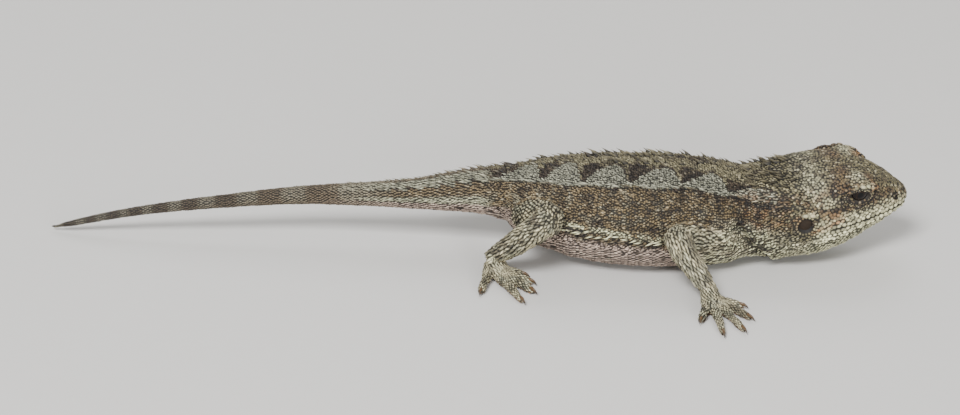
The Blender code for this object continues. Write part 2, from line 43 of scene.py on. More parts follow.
# The place it is shown in
# A pale matt table under soft studio lamps. The camera stands half a metre off the animal's right
# side and looks down on it.
VIEW_AIM = Vector((-32.0, 0.0, 10.0)) * MM
VIEW_DISTANCE = 0.5
VIEW_ELEVATION = math.radians(25)
LENS = 94.0
camera = bpy.data.objects.new("camera", bpy.data.cameras.new("camera"))
camera.data.sensor_width = 36.0
camera.data.lens = LENS
camera.data.clip_start = 0.01
camera.location = VIEW_AIM + Vector((0, -math.cos(VIEW_ELEVATION), math.sin(VIEW_ELEVATION))) * VIEW_DISTANCE
camera.rotation_euler = (math.pi / 2 - VIEW_ELEVATION, 0, 0)
bpy.context.scene.collection.objects.link(camera)
bpy.context.scene.camera = camera


class Wire:
    """A socket in a material, which takes part in sums as a number does."""

    def __init__(self, tree, socket):
        self.tree, self.socket = tree, socket

    def sum_of(self, operation, other, turned=False):
        inputs = [other, self] if turned else [self, other]
        return self.tree.node("ShaderNodeMath", {"operation": operation}, dict(enumerate(inputs)))

    def __add__(self, other):
        return self.sum_of("ADD", other)

    def __radd__(self, other):
        return self.sum_of("ADD", other, True)

    def __rsub__(self, other):
        return self.sum_of("SUBTRACT", other, True)

    def __mul__(self, other):
        return self.sum_of("MULTIPLY", other)


class Finish:
    """A material that is put together node by node."""

    def __init__(self, name):
        self.material = bpy.data.materials.new(name)
        self.material.use_nodes = True
        self.nodes, self.links = self.material.node_tree.nodes, self.material.node_tree.links
        self.shader = self.nodes["Principled BSDF"]

    def node(self, kind, settings, inputs, output=0):
        """Adds a node, sets it up, and gives back one of its outputs."""
        made = self.nodes.new(kind)
        for name, value in settings.items():
            setattr(made, name, value)
        for name, value in inputs.items():
            if isinstance(value, Wire):
                self.links.new(value.socket, made.inputs[name])
            else:
                made.inputs[name].default_value = value
        return Wire(self, made.outputs[output])

    def value(self, name):
        """A number that the mesh carries."""
        return self.node("ShaderNodeAttribute", {"attribute_name": name}, {}, "Fac")

    def mix(self, share, one, two):
        """One colour laid over another by a share."""
        pair = [colour if isinstance(colour, Wire) else (*colour, 1) for colour in (one, two)]
        return self.node("ShaderNodeMix", {"data_type": "RGBA"}, {0: share, 6: pair[0], 7: pair[1]}, 2)

    def shade(self, colour, share):
        """A colour made lighter or darker."""
        return self.node("ShaderNodeVectorMath", {"operation": "SCALE"}, {"Vector": colour, "Scale": share})

    def noise(self, size, detail):
        """Soft noise in the animal's own space, with blotches of about this size in metres."""
        place = self.node("ShaderNodeTexCoord", {}, {}, "Object")
        return self.node("ShaderNodeTexNoise", {}, {"Vector": place, "Scale": 1 / size, "Detail": detail})

    def step(self, value, low, high):
        """0 below one value and 1 above another, with a soft step between them."""
        return self.node("ShaderNodeMapRange", {"interpolation_type": "SMOOTHSTEP"},
                         {"Value": value, "From Min": low, "From Max": high})

    def set(self, **inputs):
        """Sets the shader's sockets, which are named with _ for a space."""
        for name, value in inputs.items():
            socket = self.shader.inputs[name.replace("_", " ")]
            if isinstance(value, Wire):
                self.links.new(value.socket, socket)
            else:
                socket.default_value = value


TABLE_PALE, TABLE_DARK = (0.62, 0.61, 0.59), (0.55, 0.54, 0.52)
TABLE_WIDTH, TABLE_MIDDLE = 6, (0, 1.2, -0.0002)
floor = Finish("table")
floor_grain = floor.noise(0.004, 3)
floor.set(Base_Color=floor.mix(floor_grain * 0.2, TABLE_PALE, TABLE_DARK), Roughness=0.85)
bpy.ops.mesh.primitive_plane_add(size=TABLE_WIDTH, location=TABLE_MIDDLE)
table = bpy.context.object
table.name = "table"
table.data.materials.append(floor.material)

LAMPS = (  # place, size and power of each soft lamp; all aim at the animal
    ((-0.35, -0.75, 0.90), 0.40, 20.0),
    ((0.30, -0.90, 0.22), 0.30, 7.0),
    ((0.0, 0.8, 0.8), 0.7, 5.0),
)
for place, size, power in LAMPS:
    lamp = bpy.data.objects.new("lamp", bpy.data.lights.new("lamp", "AREA"))
    lamp.data.size, lamp.data.energy = size, power
    lamp.location = place
    lamp.rotation_euler = (VIEW_AIM - Vector(place)).to_track_quat("-Z", "Y").to_euler()
    bpy.context.scene.collection.objects.link(lamp)
ROOM_COLOUR, ROOM_LIGHT = (1.0, 0.99, 0.97, 1), 0.46
world = bpy.data.worlds.new("studio")
world.use_nodes = True
room = world.node_tree.nodes["Background"].inputs
room["Color"].default_value, room["Strength"].default_value = ROOM_COLOUR, ROOM_LIGHT
bpy.context.scene.world = world

# Head, neck, trunk and tail
# One stout body on a curved line from the snout to the tip of the tail, with the head turned a little
# to its left and rolled. The numbers are those of the solids that the skin takes the place of.
SNOUT = np.array((53.4, 4.0, 12.3)) * MM
HEAD_YAW, HEAD_PITCH, HEAD_ROLL = (math.radians(a) for a in (12, 5, 11))
HEAD_LENGTH = 25 * MM
HEAD_SECTIONS = (  # mm: back from the snout, half width, crown, throat, and how square the crown is
    (0.0, 1.0, 0.1, -1.4, 2.0),
    (0.7, 2.5, 1.1, -2.4, 2.2),
    (3.0, 4.2, 2.6, -4.1, 2.6),
    (6.0, 5.7, 4.4, -6.0, 3.0),
    (9.5, 7.0, 6.0, -8.0, 3.2),
    (12.5, 8.0, 6.9, -9.6, 3.2),
    (17.0, 9.3, 7.0, -11.3, 2.8),
    (21.0, 9.8, 6.4, -12.6, 2.5),
    (25.0, 9.7, 5.6, -13.3, 2.3),
)
BODY_SECTIONS = (  # mm: x, y, z, half width, height above, depth below, roll in degrees
    (24.6, -0.7, 10.4, 9.1, 8.9, 9.8, 9),
    (21.0, -0.8, 10.1, 9.1, 8.5, 9.0, 6),
    (17.0, -0.7, 10.1, 10.8, 8.8, 10.1, 4),
    (10.0, -0.4, 10.2, 12.5, 9.7, 10.4, 1),
    (0.0, 0.0, 10.2, 13.2, 10.0, 10.5, 0),
    (-10.0, 1.2, 10.2, 12.5, 9.5, 9.9, 0),
    (-16.0, 2.2, 10.3, 11.2, 8.8, 8.7, 0),
    (-21.0, 3.2, 10.8, 9.3, 7.7, 7.3, 0),
    (-26.0, 4.3, 11.4, 6.3, 5.5, 5.3, 0),
    (-32.0, 5.0, 11.5, 4.7, 4.5, 4.4, 0),
    (-38.2, 5.3, 11.1, 3.9, 3.8, 3.8, 0),
    (-46.4, 5.7, 10.5, 2.95, 2.9, 2.9, 0),
    (-54.8, 6.4, 10.1, 2.45, 2.4, 2.4, 0),
    (-68.0, 7.4, 9.4, 1.95, 1.9, 1.9, 0),
    (-85.6, 7.9, 7.6, 1.45, 1.4, 1.4, 0),
    (-102.8, 8.9, 4.9, 1.1, 1.05, 1.05, 0),
    (-114.4, 9.9, 2.1, 0.9, 0.85, 0.85, 0),
    (-119.6, 10.7, 0.65, 0.45, 0.45, 0.45, 0),
)
BACK_ROUND, BELLY_ROUND = 2.15, 2.6  # 2 is an ellipse, and more is squarer
SCALE_DEPTH = 0.28 * MM  # how far the skin lies under the tops of the scales


def unit(vectors):
    """Directions of length one."""
    return vectors / np.maximum(np.linalg.norm(vectors, axis=-1, keepdims=True), 1e-12)


def smooth(keys, values, at):
    """Values at places between keys, on a cubic that never overshoots them."""
    keys, values, at = np.asarray(keys, float), np.asarray(values, float), np.asarray(at, float)
    table = values.reshape(len(keys), -1)
    gap = np.diff(keys)
    slope = np.diff(table, axis=0) / gap[:, None]
    product = slope[:-1] * slope[1:]
    same = product > 0
    tangent = np.where(same, 2 * product / np.where(same, slope[:-1] + slope[1:], 1.0), 0.0)
    tangent = np.vstack([slope[:1], tangent, slope[-1:]])
    i = np.clip(np.searchsorted(keys, at) - 1, 0, len(gap) - 1)
    t = ((at - keys[i]) / gap[i])[..., None]
    found = (table[i] * (1 + 2 * t) * (1 - t) ** 2 + table[i + 1] * t * t * (3 - 2 * t)
             + gap[i][..., None] * t * (1 - t) * (tangent[i] * (1 - t) - tangent[i + 1] * t))
    return found[..., 0] if values.ndim == 1 else found


def mesh_piece(name, points, faces):
    """An object from points and faces."""
    mesh = bpy.data.meshes.new(name)
    mesh.from_pydata([tuple(p) for p in points], [], [tuple(int(i) for i in f) for f in faces])
    made = bpy.data.objects.new(name, mesh)
    bpy.context.scene.collection.objects.link(made)
    return made


class Sweep:
    """A rounded form of changing section along a smooth line."""

    def __init__(self, points, wide, high, deep=None, roll=None, crown=None, belly=2.0):
        self.points = np.array(points, float)
        self.keys = np.concatenate([[0.0], np.cumsum(np.linalg.norm(np.diff(self.points, axis=0), axis=1))])
        self.length = self.keys[-1]
        even = np.ones(len(self.keys))
        self.wide, self.high = np.array(wide, float), np.array(high, float)
        self.deep = self.high if deep is None else np.array(deep, float)
        self.roll = even * 0 if roll is None else np.array(roll, float)
        self.crown = even * 2 if crown is None else np.array(crown, float)
        self.belly = belly

    def centre(self, s):
        return smooth(self.keys, self.points, s)

    def frame(self, s):
        """The line's direction towards its start, and the section's left and up."""
        d = self.length * 0.004
        s = np.clip(s, d, self.length - d)
        ahead = unit(self.centre(s - d) - self.centre(s + d))
        left = unit(np.cross(np.array((0.0, 0.0, 1.0)), ahead))
        up = np.cross(ahead, left)
        roll = smooth(self.keys, self.roll, s)[..., None]
        return ahead, left * np.cos(roll) + up * np.sin(roll), up * np.cos(roll) - left * np.sin(roll)

    def surface(self, s, angle, grow=0.0):
        """Points of the surface: the angle is 0 at the left, and a quarter turn at the top."""
        s, angle = np.broadcast_arrays(np.asarray(s, float), np.asarray(angle, float))
        _, left, up = self.frame(s)
        cos, sin = np.cos(angle), np.sin(angle)
        wide = smooth(self.keys, self.wide, s) + grow
        high = np.where(sin >= 0, smooth(self.keys, self.high, s), smooth(self.keys, self.deep, s)) + grow
        power = 2 / np.where(sin >= 0, smooth(self.keys, self.crown, s), self.belly)
        across = np.sign(cos) * np.abs(cos) ** power * wide
        rise = np.sign(sin) * np.abs(sin) ** power * high
        return self.centre(s) + left * across[..., None] + up * rise[..., None]

    def locate(self, points):
        """How far along the line each point lies, its angle, and how far out it is, 1 on the surface."""
        tries = np.linspace(0, self.length, max(int(self.length / (0.5 * MM)), 12))
        line = self.centre(tries)
        nearest = np.concatenate([
            np.argmin(((part[:, None] - line[None]) ** 2).sum(-1), axis=1)
            for part in np.array_split(points, max(len(points) // 20000, 1))
        ])
        s = tries[nearest]
        for _ in range(2):
            s = np.clip(s - ((points - self.centre(s)) * self.frame(s)[0]).sum(-1), 0, self.length)
        _, left, up = self.frame(s)
        offset = points - self.centre(s)
        over = (offset * up).sum(-1) >= 0
        x = (offset * left).sum(-1) / smooth(self.keys, self.wide, s)
        tall = np.where(over, smooth(self.keys, self.high, s), smooth(self.keys, self.deep, s))
        z = (offset * up).sum(-1) / tall
        power = np.where(over, smooth(self.keys, self.crown, s), self.belly)
        out = (np.abs(x) ** power + np.abs(z) ** power) ** (1 / power)
        angle = np.arctan2(np.sign(z) * np.abs(z) ** (power / 2), np.sign(x) * np.abs(x) ** (power / 2))
        return s, angle, out

    def mesh(self, name, start, end, rings, sides, grow=0.0):
        """The closed form between two places along the line."""
        s = np.linspace(start, end, rings)[:, None]
        turn = (np.arange(sides) + 0.5)[None] * 2 * math.pi / sides
        points = self.surface(s, turn, grow).reshape(-1, 3)
        faces = []
        for r in range(rings - 1):
            for k in range(sides):
                j = (k + 1) % sides
                faces.append((r * sides + k, (r + 1) * sides + k, (r + 1) * sides + j, r * sides + j))
        faces.append(tuple(range(sides)))
        faces.append(tuple(reversed(range((rings - 1) * sides, rings * sides))))
        return mesh_piece(name, points, faces)


head_turn = Matrix.Identity(3)
for turn, axis in ((HEAD_YAW, "Z"), (HEAD_PITCH, "Y"), (HEAD_ROLL, "X")):
    head_turn = head_turn @ Matrix.Rotation(turn, 3, axis)
HEAD_AHEAD, HEAD_LEFT, HEAD_UP = (np.array(head_turn.col[i]) for i in range(3))


def head_point(back, left, up):
    """A place by its distance back from the snout, to the left and up, in mm."""
    return SNOUT + (-HEAD_AHEAD * back + HEAD_LEFT * left + HEAD_UP * up) * MM


def head_place(points):
    """The reverse: how far back, left and up from the snout points lie, in mm."""
    offset = (points - SNOUT) / MM
    return -offset @ HEAD_AHEAD, offset @ HEAD_LEFT, offset @ HEAD_UP


stations = [head_point(back, 0, (crown + throat) / 2) for back, _, crown, throat, _ in HEAD_SECTIONS]
stations += [np.array(row[:3]) * MM for row in BODY_SECTIONS]
half_heads = [(row[2] - row[3]) / 2 * MM for row in HEAD_SECTIONS]
body = Sweep(
    stations,
    [row[1] * MM for row in HEAD_SECTIONS] + [row[3] * MM for row in BODY_SECTIONS],
    half_heads + [row[4] * MM for row in BODY_SECTIONS],
    half_heads + [row[5] * MM for row in BODY_SECTIONS],
    [HEAD_ROLL] * len(HEAD_SECTIONS) + [math.radians(row[6]) for row in BODY_SECTIONS],
    [row[4] for row in HEAD_SECTIONS] + [BACK_ROUND] * len(BODY_SECTIONS),
    BELLY_ROUND,
)
body_s = np.linspace(0, body.length, 2000)
body_x = body.centre(body_s)[:, 0]


def along_at(x):
    """How far along the body's line it passes a given x, in mm."""
    return np.interp(-np.asarray(x, float) * MM, -body_x, body_s)


def along_x(s):
    """The x in mm that the body's line passes at a distance along it."""
    return np.interp(s, body_s, body_x) / MM


def fold_down(x):
    """How far down the flank the fold between flank and belly runs at a given x in mm, in degrees."""
    return np.interp(x, (-15, 5), (89, 95))


flesh = [body.mesh("flesh", 0.0, body.length, 460, 96, -SCALE_DEPTH)]

# Legs, hands and feet
# Two short arms and two stouter legs, bent at elbow and knee, each with five clawed digits spread on
# the floor. They grow out of the trunk with no seam, so their flesh is joined with it below.
ARM_RADII = (3.3, 2.75, 2.15, 1.45)
LEG_RADII = (4.0, 3.0, 2.5, 1.55)
LIMBS = (  # right arm and leg, then left: side, joints in mm, radii, heading of hand or foot in degrees
    (-1, ((16.2, -8.0, 7.2), (5.4, -15.0, 11.2), (12.4, -22.0, 2.3)), ARM_RADII, -86),
    (-1, ((-22.5, -2.5, 9.8), (-17.6, -12.2, 13.4), (-30.0, -9.6, 3.3)), LEG_RADII, -44),
    (1, ((16.0, 7.4, 7.2), (8.0, 16.4, 9.6), (16.5, 22.0, 2.3)), ARM_RADII, 52),
    (1, ((-22.0, 8.5, 9.6), (-12.8, 18.2, 11.2), (-22.5, 20.8, 3.3)), LEG_RADII, 48),
)
HAND = ((6.6, 64), (10.2, 40), (13.4, 20), (13.8, 2), (8.8, -20))  # reach in mm and spread in degrees
FOOT = ((7.0, 30), (9.4, 14), (12.0, -2), (14.2, -20), (9.2, -58))
FINGER_RADIUS, TOE_RADIUS = 0.8 * MM, 0.85 * MM
DIGIT_SCALES = 0.14 * MM  # the smaller depth of the scales on hands and feet


def limb_line(joints, radii):
    """An upper and a lower limb in one bent line, thickest at the muscle of each."""
    root, bend, end = (np.array(joint) * MM for joint in joints)
    above, below = root + (bend - root) * 0.74, bend + (end - bend) * 0.26
    inside = (above + below) / 2
    points = [root, root + (bend - root) * 0.4, above, bend + (inside - bend) * 0.42, below,
              bend + (end - bend) * 0.6, end]
    shares = ((0, 1.0), (0, 0.98), (1, 1.0), (1, 0.97), (1, 0.95), (2, 1.0), (3, 1.0))
    thick = np.array([radii[i] * share * MM for i, share in shares])
    return Sweep(points, thick, thick * 0.93)


def palm_line(line, heading, reach, wrist):
    """The palm or sole in front of the wrist or ankle."""
    start, end = line.centre(np.array((line.length - MM, line.length)))
    facing = np.array((math.cos(heading), math.sin(heading), 0.0))
    ground = end * (1, 1, 0)
    middle = ground + facing * reach * 0.2 + (0, 0, wrist * 0.92)
    far = ground + facing * reach * 0.4 + (0, 0, wrist * 0.68)
    return Sweep([start, middle, far], np.array((1, 1.55, 1.15)) * wrist, np.array((0.93, 0.85, 0.5)) * wrist)


def digit_line(root, heading, reach, radius, lift):
    """One finger or toe from the wrist or ankle to its claw, with its knuckle raised."""
    along = np.array((math.cos(heading), math.sin(heading), 0.0))
    heights = (root[2] * 0.8, lift, lift * 1.05, radius * 0.84, radius * 0.5)
    points = [root * (1, 1, 0) + along * reach * share + (0, 0, height)
              for share, height in zip((0.04, 0.36, 0.62, 0.84, 1.0), heights)]
    radii = radius * np.array((1.25, 1.2, 1.0, 0.92, 0.62))
    return Sweep(points, radii, radii)


limb_lines, palm_lines, digit_lines, claw_places = [], [], [], []
for side, joints, radii, heading in LIMBS:
    line = limb_line(joints, radii)
    limb_lines.append(line)
    digits, radius = (HAND, FINGER_RADIUS) if radii is ARM_RADII else (FOOT, TOE_RADIUS)
    wrist = radii[3] * MM
    palm_lines.append(palm_line(line, math.radians(heading), digits[2][0] * MM, wrist))
    wrist_place = line.centre(np.array(line.length))
    for reach, spread in digits:
        pointing = math.radians(heading - side * spread)
        digit_lines.append(digit_line(wrist_place, pointing, reach * MM, radius, wrist * 0.62))
        claw_places.append((wrist_place * (1, 1, 0), pointing, reach * MM, radius))
for lines, rings, sides, depth in (
    (limb_lines, 70, 40, SCALE_DEPTH * 0.8),
    (palm_lines, 16, 24, DIGIT_SCALES),
    (digit_lines, 36, 16, DIGIT_SCALES),
):
    flesh += [line.mesh("flesh", 0.0, line.length, rings, sides, -depth) for line in lines]

# Skin
# One dry, loose skin over head, trunk, legs and tail, the bed that every scale grows from. It bulges
# into lids, brows and lips, sinks at the mouth, nostrils and ears, and folds behind the throat.
EYE_PLACE = (13.1, 5.4, 3.6)  # mm: back from the snout, out to the side, up
EYE_RADIUS = 2.4
LID_RADIUS = 3.2
EYE_OPENING = (2.15, 1.4)  # half its width and half its height
BROW_DOME, BROW_RADII = (13.6, 4.3, 3.9), (4.4, 3.0, 3.0)
BROW_RIDGE = ((8.0, 5.1, 3.9, 0.3), (10.3, 6.3, 4.9, 0.7), (13.0, 7.0, 5.3, 0.85), (15.8, 7.5, 4.8, 0.7),
              (18.4, 8.0, 3.8, 0.3))
NOSTRIL_PLACE, NOSTRIL_RADIUS, NOSTRIL_DEPTH = (3.7, 4.1, 0.8), 0.55, 0.55
EAR_PLACE, EAR_RADIUS, EAR_DEPTH = (23.6, 9.5, -2.2), 1.6, 0.5
MOUTH_FRONT, MOUTH_CORNER = (0.0, -0.9), (18.0, -3.4)  # back from the snout and up
LIP_RADIUS = 0.6
SKIN_VOXEL = 0.27 * MM


def egg(centre, radii):
    """A smooth egg in the head's own directions, its place and radii in mm."""
    shape = bmesh.new()
    bmesh.ops.create_icosphere(shape, subdivisions=4, radius=1)
    points = np.array([v.co for v in shape.verts]) * np.array(radii) * MM
    faces = [[v.index for v in f.verts] for f in shape.faces]
    shape.free()
    turned = -points[:, :1] * HEAD_AHEAD + points[:, 1:2] * HEAD_LEFT + points[:, 2:] * HEAD_UP
    # The first axis runs back from the snout, so the faces are turned over with it.
    return mesh_piece("flesh", head_point(*centre) + turned, [face[::-1] for face in faces])


def mouth_height(back):
    """How high the line of the mouth is, so far back from the snout, in mm."""
    share = (back - MOUTH_FRONT[0]) / (MOUTH_CORNER[0] - MOUTH_FRONT[0])
    return MOUTH_FRONT[1] + (MOUTH_CORNER[1] - MOUTH_FRONT[1]) * share


thin = SCALE_DEPTH / MM
for side in (1, -1):
    back, out, up = EYE_PLACE
    flesh.append(egg((back, side * out, up), (LID_RADIUS - thin,) * 3))
    flesh.append(egg((BROW_DOME[0], side * BROW_DOME[1], BROW_DOME[2]), [r - thin for r in BROW_RADII]))
    ridge = [head_point(b, side * o, u) for b, o, u, _ in BROW_RIDGE]
    radii = [(row[3] * 0.9) * MM for row in BROW_RIDGE]
    ridge = Sweep(ridge, radii, radii)
    flesh.append(ridge.mesh("flesh", 0, ridge.length, 40, 16))
    lip, radii = [], []
    for share in (0.03, 0.12, 0.25, 0.45, 0.65, 0.85, 1.0):
        back = MOUTH_CORNER[0] * share
        half = smooth(body.keys, body.wide, np.array(back * MM)) / MM
        lip.append(head_point(back, side * (half - LIP_RADIUS * 0.7), mouth_height(back)))
        radii.append(LIP_RADIUS * (0.5 if share in (0.03, 1.0) else 0.85) * MM)
    lip = Sweep(lip, radii, radii)
    flesh.append(lip.mesh("flesh", 0, lip.length, 60, 14))


def join_pieces(things):
    """One object from several."""
    for thing in bpy.context.selected_objects:
        thing.select_set(False)
    for thing in things:
        thing.select_set(True)
    bpy.context.view_layer.objects.active = things[0]
    bpy.ops.object.join()
    return bpy.context.object


skin = join_pieces(flesh)
skin.name = skin.data.name = "skin"
remesh = skin.modifiers.new("remesh", "REMESH")
remesh.mode, remesh.voxel_size = "VOXEL", SKIN_VOXEL
relax = skin.modifiers.new("relax", "SMOOTH")
relax.factor, relax.iterations = 0.5, 3
evaluated = skin.evaluated_get(bpy.context.evaluated_depsgraph_get())
skin_mesh = bpy.data.meshes.new_from_object(evaluated)
skin.modifiers.clear()
skin.data = skin_mesh
skin_mesh.name = "skin"


def read_points(mesh):
    """The places of a mesh's points."""
    flat = np.empty(len(mesh.vertices) * 3, dtype=np.float32)
    mesh.vertices.foreach_get("co", flat)
    return flat.reshape(-1, 3).astype(float)


def read_normals(mesh):
    """The way out of a mesh at each point."""
    flat = np.empty(len(mesh.vertices) * 3, dtype=np.float32)
    mesh.vertex_normals.foreach_get("vector", flat)
    return flat.reshape(-1, 3).astype(float)


def ease(value, low, high):
    """0 below one value and 1 above another, with a soft step between them."""
    t = np.clip((np.asarray(value, float) - low) / (high - low), 0, 1)
    return t * t * (3 - 2 * t)


def bump(value, middle, width):
    """1 at one value, falling softly to 0 on both sides."""
    return np.exp(-((value - middle) / width) ** 2)


def grain(points, size, seed=0.0):
    """Soft noise between -1 and 1 at each point, with blotches of about this size in metres."""
    shifted = points / size + seed
    return np.array([noise.noise(p) for p in shifted])


def off_place(back, out, up, place):
    """How far points of the head are from a place on its side, in mm."""
    return np.sqrt((back - place[0]) ** 2 + (out - place[1]) ** 2 + (up - place[2]) ** 2)


THROAT_FOLD, THROAT_SLANT = 21.3, 0.09  # mm: x of the fold across the throat, and mm back for each degree up


def throat_fold(down):
    """How far back along the body the fold across the throat runs, in mm, so many degrees off the back."""
    return along_at(THROAT_FOLD) / MM + (100 - down) * THROAT_SLANT


points, outward = read_points(skin_mesh), read_normals(skin_mesh)
along, angle, out = body.locate(points)
# Degrees down from the back, which has 0, to 180 below.
down = np.degrees(np.abs((math.pi / 2 - angle + math.pi) % (2 * math.pi) - math.pi))
back, left, up = head_place(points)
on_head = 1 - ease(along, HEAD_LENGTH, HEAD_LENGTH + 2 * MM)
move = np.zeros(len(points))  # outward, in mm

# The mouth, as a groove from the snout's tip to its corners.
in_mouth = on_head * (1 - ease(back, MOUTH_CORNER[0] - 1.0, MOUTH_CORNER[0] + 1.2)) * (out > 0.7)
move -= 0.55 * in_mouth * bump(up, mouth_height(back), 0.26)
for side in (1, -1):
    # The opening between the lids, sunk past the front of the eyeball.
    x, y, z = back - EYE_PLACE[0], side * left - EYE_PLACE[1], up - EYE_PLACE[2]
    wide, high = EYE_OPENING
    almond = np.hypot(x / wide, z / (high * (0.82 + 0.18 * np.cos(x / wide * 1.5))))
    reach = np.sqrt(x * x + y * y + z * z)
    opening = (1 - ease(almond, 0.86, 1.08)) * (y > 0.5) * (reach < 5)
    centre = head_point(EYE_PLACE[0], side * EYE_PLACE[1], EYE_PLACE[2])
    sunk = centre + unit(points - centre) * (EYE_RADIUS - 0.55) * MM
    points = points + (sunk - points) * opening[:, None]
    # The rounded rims of the lids, and the creases round them.
    front = (y > 0.2) * (reach < 5)
    move += 0.16 * front * bump(almond, 1.3, 0.16) * (1 - opening)
    move -= 0.30 * front * bump(almond, 1.75, 0.14)
    move += 0.10 * front * bump(almond, 2.1, 0.16)
    move -= 0.20 * front * (z < 0) * bump(almond, 2.5, 0.16)
    # The nostril and the shallow pit of the ear, each with a low rim.
    for place, radius, depth in ((NOSTRIL_PLACE, NOSTRIL_RADIUS, NOSTRIL_DEPTH),
                                 (EAR_PLACE, EAR_RADIUS, EAR_DEPTH)):
        far = off_place(back, side * left, up, place)
        near_side = side * left > place[1] - 2.0
        move -= depth * near_side * (1 - ease(far, radius * 0.75, radius * 1.15))
        move += 0.12 * near_side * bump(far, radius * 1.35, radius * 0.25)
# The fold across the throat, in front of the shoulders: a lip of loose skin, then a deep crease behind it.
behind = along / MM - throat_fold(down)
on_trunk = 1 - ease(out, 1.2, 1.5)  # not on the limbs
low = ease(down, 58, 92) * on_trunk
move += 0.30 * low * bump(behind, -0.9, 0.9)
move -= 1.5 * low * (behind > -0.2) * np.exp(-np.clip(behind, 0, None) / 1.5) * ease(behind, -0.2, 0.25)
# Loose, slightly dented hide over the ribs and thighs, and the fold between flank and belly.
trunk = ease(along, HEAD_LENGTH, HEAD_LENGTH + 4 * MM) * (1 - ease(along, along_at(-40.0), along_at(-48.0)))
move += 0.22 * trunk * grain(points, 3.2 * MM) + 0.10 * grain(points, 1.3 * MM, 7.0)
fold = bump(down, fold_down(along_x(along)), 4) * ease(along, along_at(5.0), along_at(2.5)) \
    * (1 - ease(along, along_at(-14.0), along_at(-16.5)))
move += 0.40 * fold * on_trunk

points += outward * move[:, None] * MM
SKIN_FLOOR = 0.12 * MM
points[:, 2] = np.maximum(points[:, 2], SKIN_FLOOR)
skin_mesh.vertices.foreach_set("co", points.astype(np.float32).ravel())
skin_mesh.update()
skin_mesh.shade_smooth()


def sweep_reach(line, points):
    """Where points lie on a limb's line, for those close to it, and how far off its surface they are."""
    wide = line.wide.max() + 1.5 * MM
    low, high = line.points.min(axis=0) - wide, line.points.max(axis=0) + wide
    near = np.flatnonzero(((points > low) & (points < high)).all(axis=1))
    if not len(near):
        return near, near, near, near
    s, angle, out = line.locate(points[near])
    return near, s, angle, np.abs(out - 1) * smooth(line.keys, line.wide, s)


BACK_TURN = 14.0  # degrees: the ridge of the back leans this far to the animal's left


def find_places(points):
    """Where points of the hide lie: along and round the body, on the head, and where on which limb."""
    along, angle, out = body.locate(points)
    off_body = np.abs(out - 1) * smooth(body.keys, body.wide, along)
    region, s, turn = np.zeros(len(points), int), along.copy(), angle.copy()
    nearest = np.where(along < HEAD_LENGTH, off_body * 0.2, off_body)
    for number, line in enumerate(limb_lines + palm_lines + digit_lines, 1):
        near, on, around, off = sweep_reach(line, points)
        closer = off < nearest[near]
        chosen = near[closer]
        nearest[chosen], region[chosen] = off[closer], number
        s[chosen], turn[chosen] = on[closer], around[closer]
    back, left, up = head_place(points)
    x = along_x(along)
    # Degrees from the ridge of the back, which leans on the trunk.
    down = np.degrees((angle - math.pi / 2 + math.pi) % (2 * math.pi) - math.pi)
    down = down + back_lean(x) * (1 - ease(np.abs(down), 55, 105))
    return {"points": points, "along": along, "down": np.abs(down), "x": x, "region": region, "s": s,
            "turn": turn, "limb": (region > 0) * ease(off_body, 0.05 * MM, 0.9 * MM), "back": back,
            "left": left, "up": up}


def back_lean(x):
    """How far the ridge of the back leans at a given x in mm, in degrees."""
    return np.interp(x, (-70, -40, -25, 14, 27), (0, BACK_TURN / 2, BACK_TURN, BACK_TURN, 0))


SCALLOP_ENDS = (-28.5, -19.8, -11.2, -2.2, 7.6, 16.7, 27.0)  # mm: x where each pale blotch ends
SCALLOP_PEAK = 0.68  # how far along each blotch it is tallest
SCALLOP_CREST = ((-25, -18, -9, 3, 14, 25), (13, 14, 19, 24, 25, 35))  # x in mm, and degrees off the ridge
SCALLOP_LOW, SCALLOP_LINK = 52.0, 6.0  # degrees: its lower edge, and how wide the strip between two is
TOOTH_LENGTH, TOOTH_HEIGHT = 3.3, 20.0  # mm along the tail and degrees round it, for the teeth of its stripe
TAIL_RINGS = -np.array((57, 69.5, 79, 87.5, 94, 99.5, 104.5, 109, 113.5, 118))  # mm: x of each pale ring
SIDE_MARKS = {  # on the side of the head, in mm: back from the snout, half its length, up, half its height
    "brow": (12.0, 1.7, 5.1, 0.8),
    "temple": (22.3, 3.0, 4.6, 1.8),
    "above_ear": (23.4, 1.6, 0.2, 0.45),
    "olive": (17.6, 1.6, -0.4, 0.8),
    "tan": (9.9, 0.9, 4.7, 0.8),
    "behind_eye": (17.4, 1.7, 5.2, 1.0),
}
TOP_MARKS = {  # on top of it, in mm: back, half its length, out, half its width, and from how high up
    "dome": (12.8, 1.6, 4.6, 1.7, 4.8),
    "tan": (10.8, 1.3, 4.2, 1.2, 4.0),
    "behind_eye": (16.0, 1.4, 3.0, 2.0, 5.0),
}


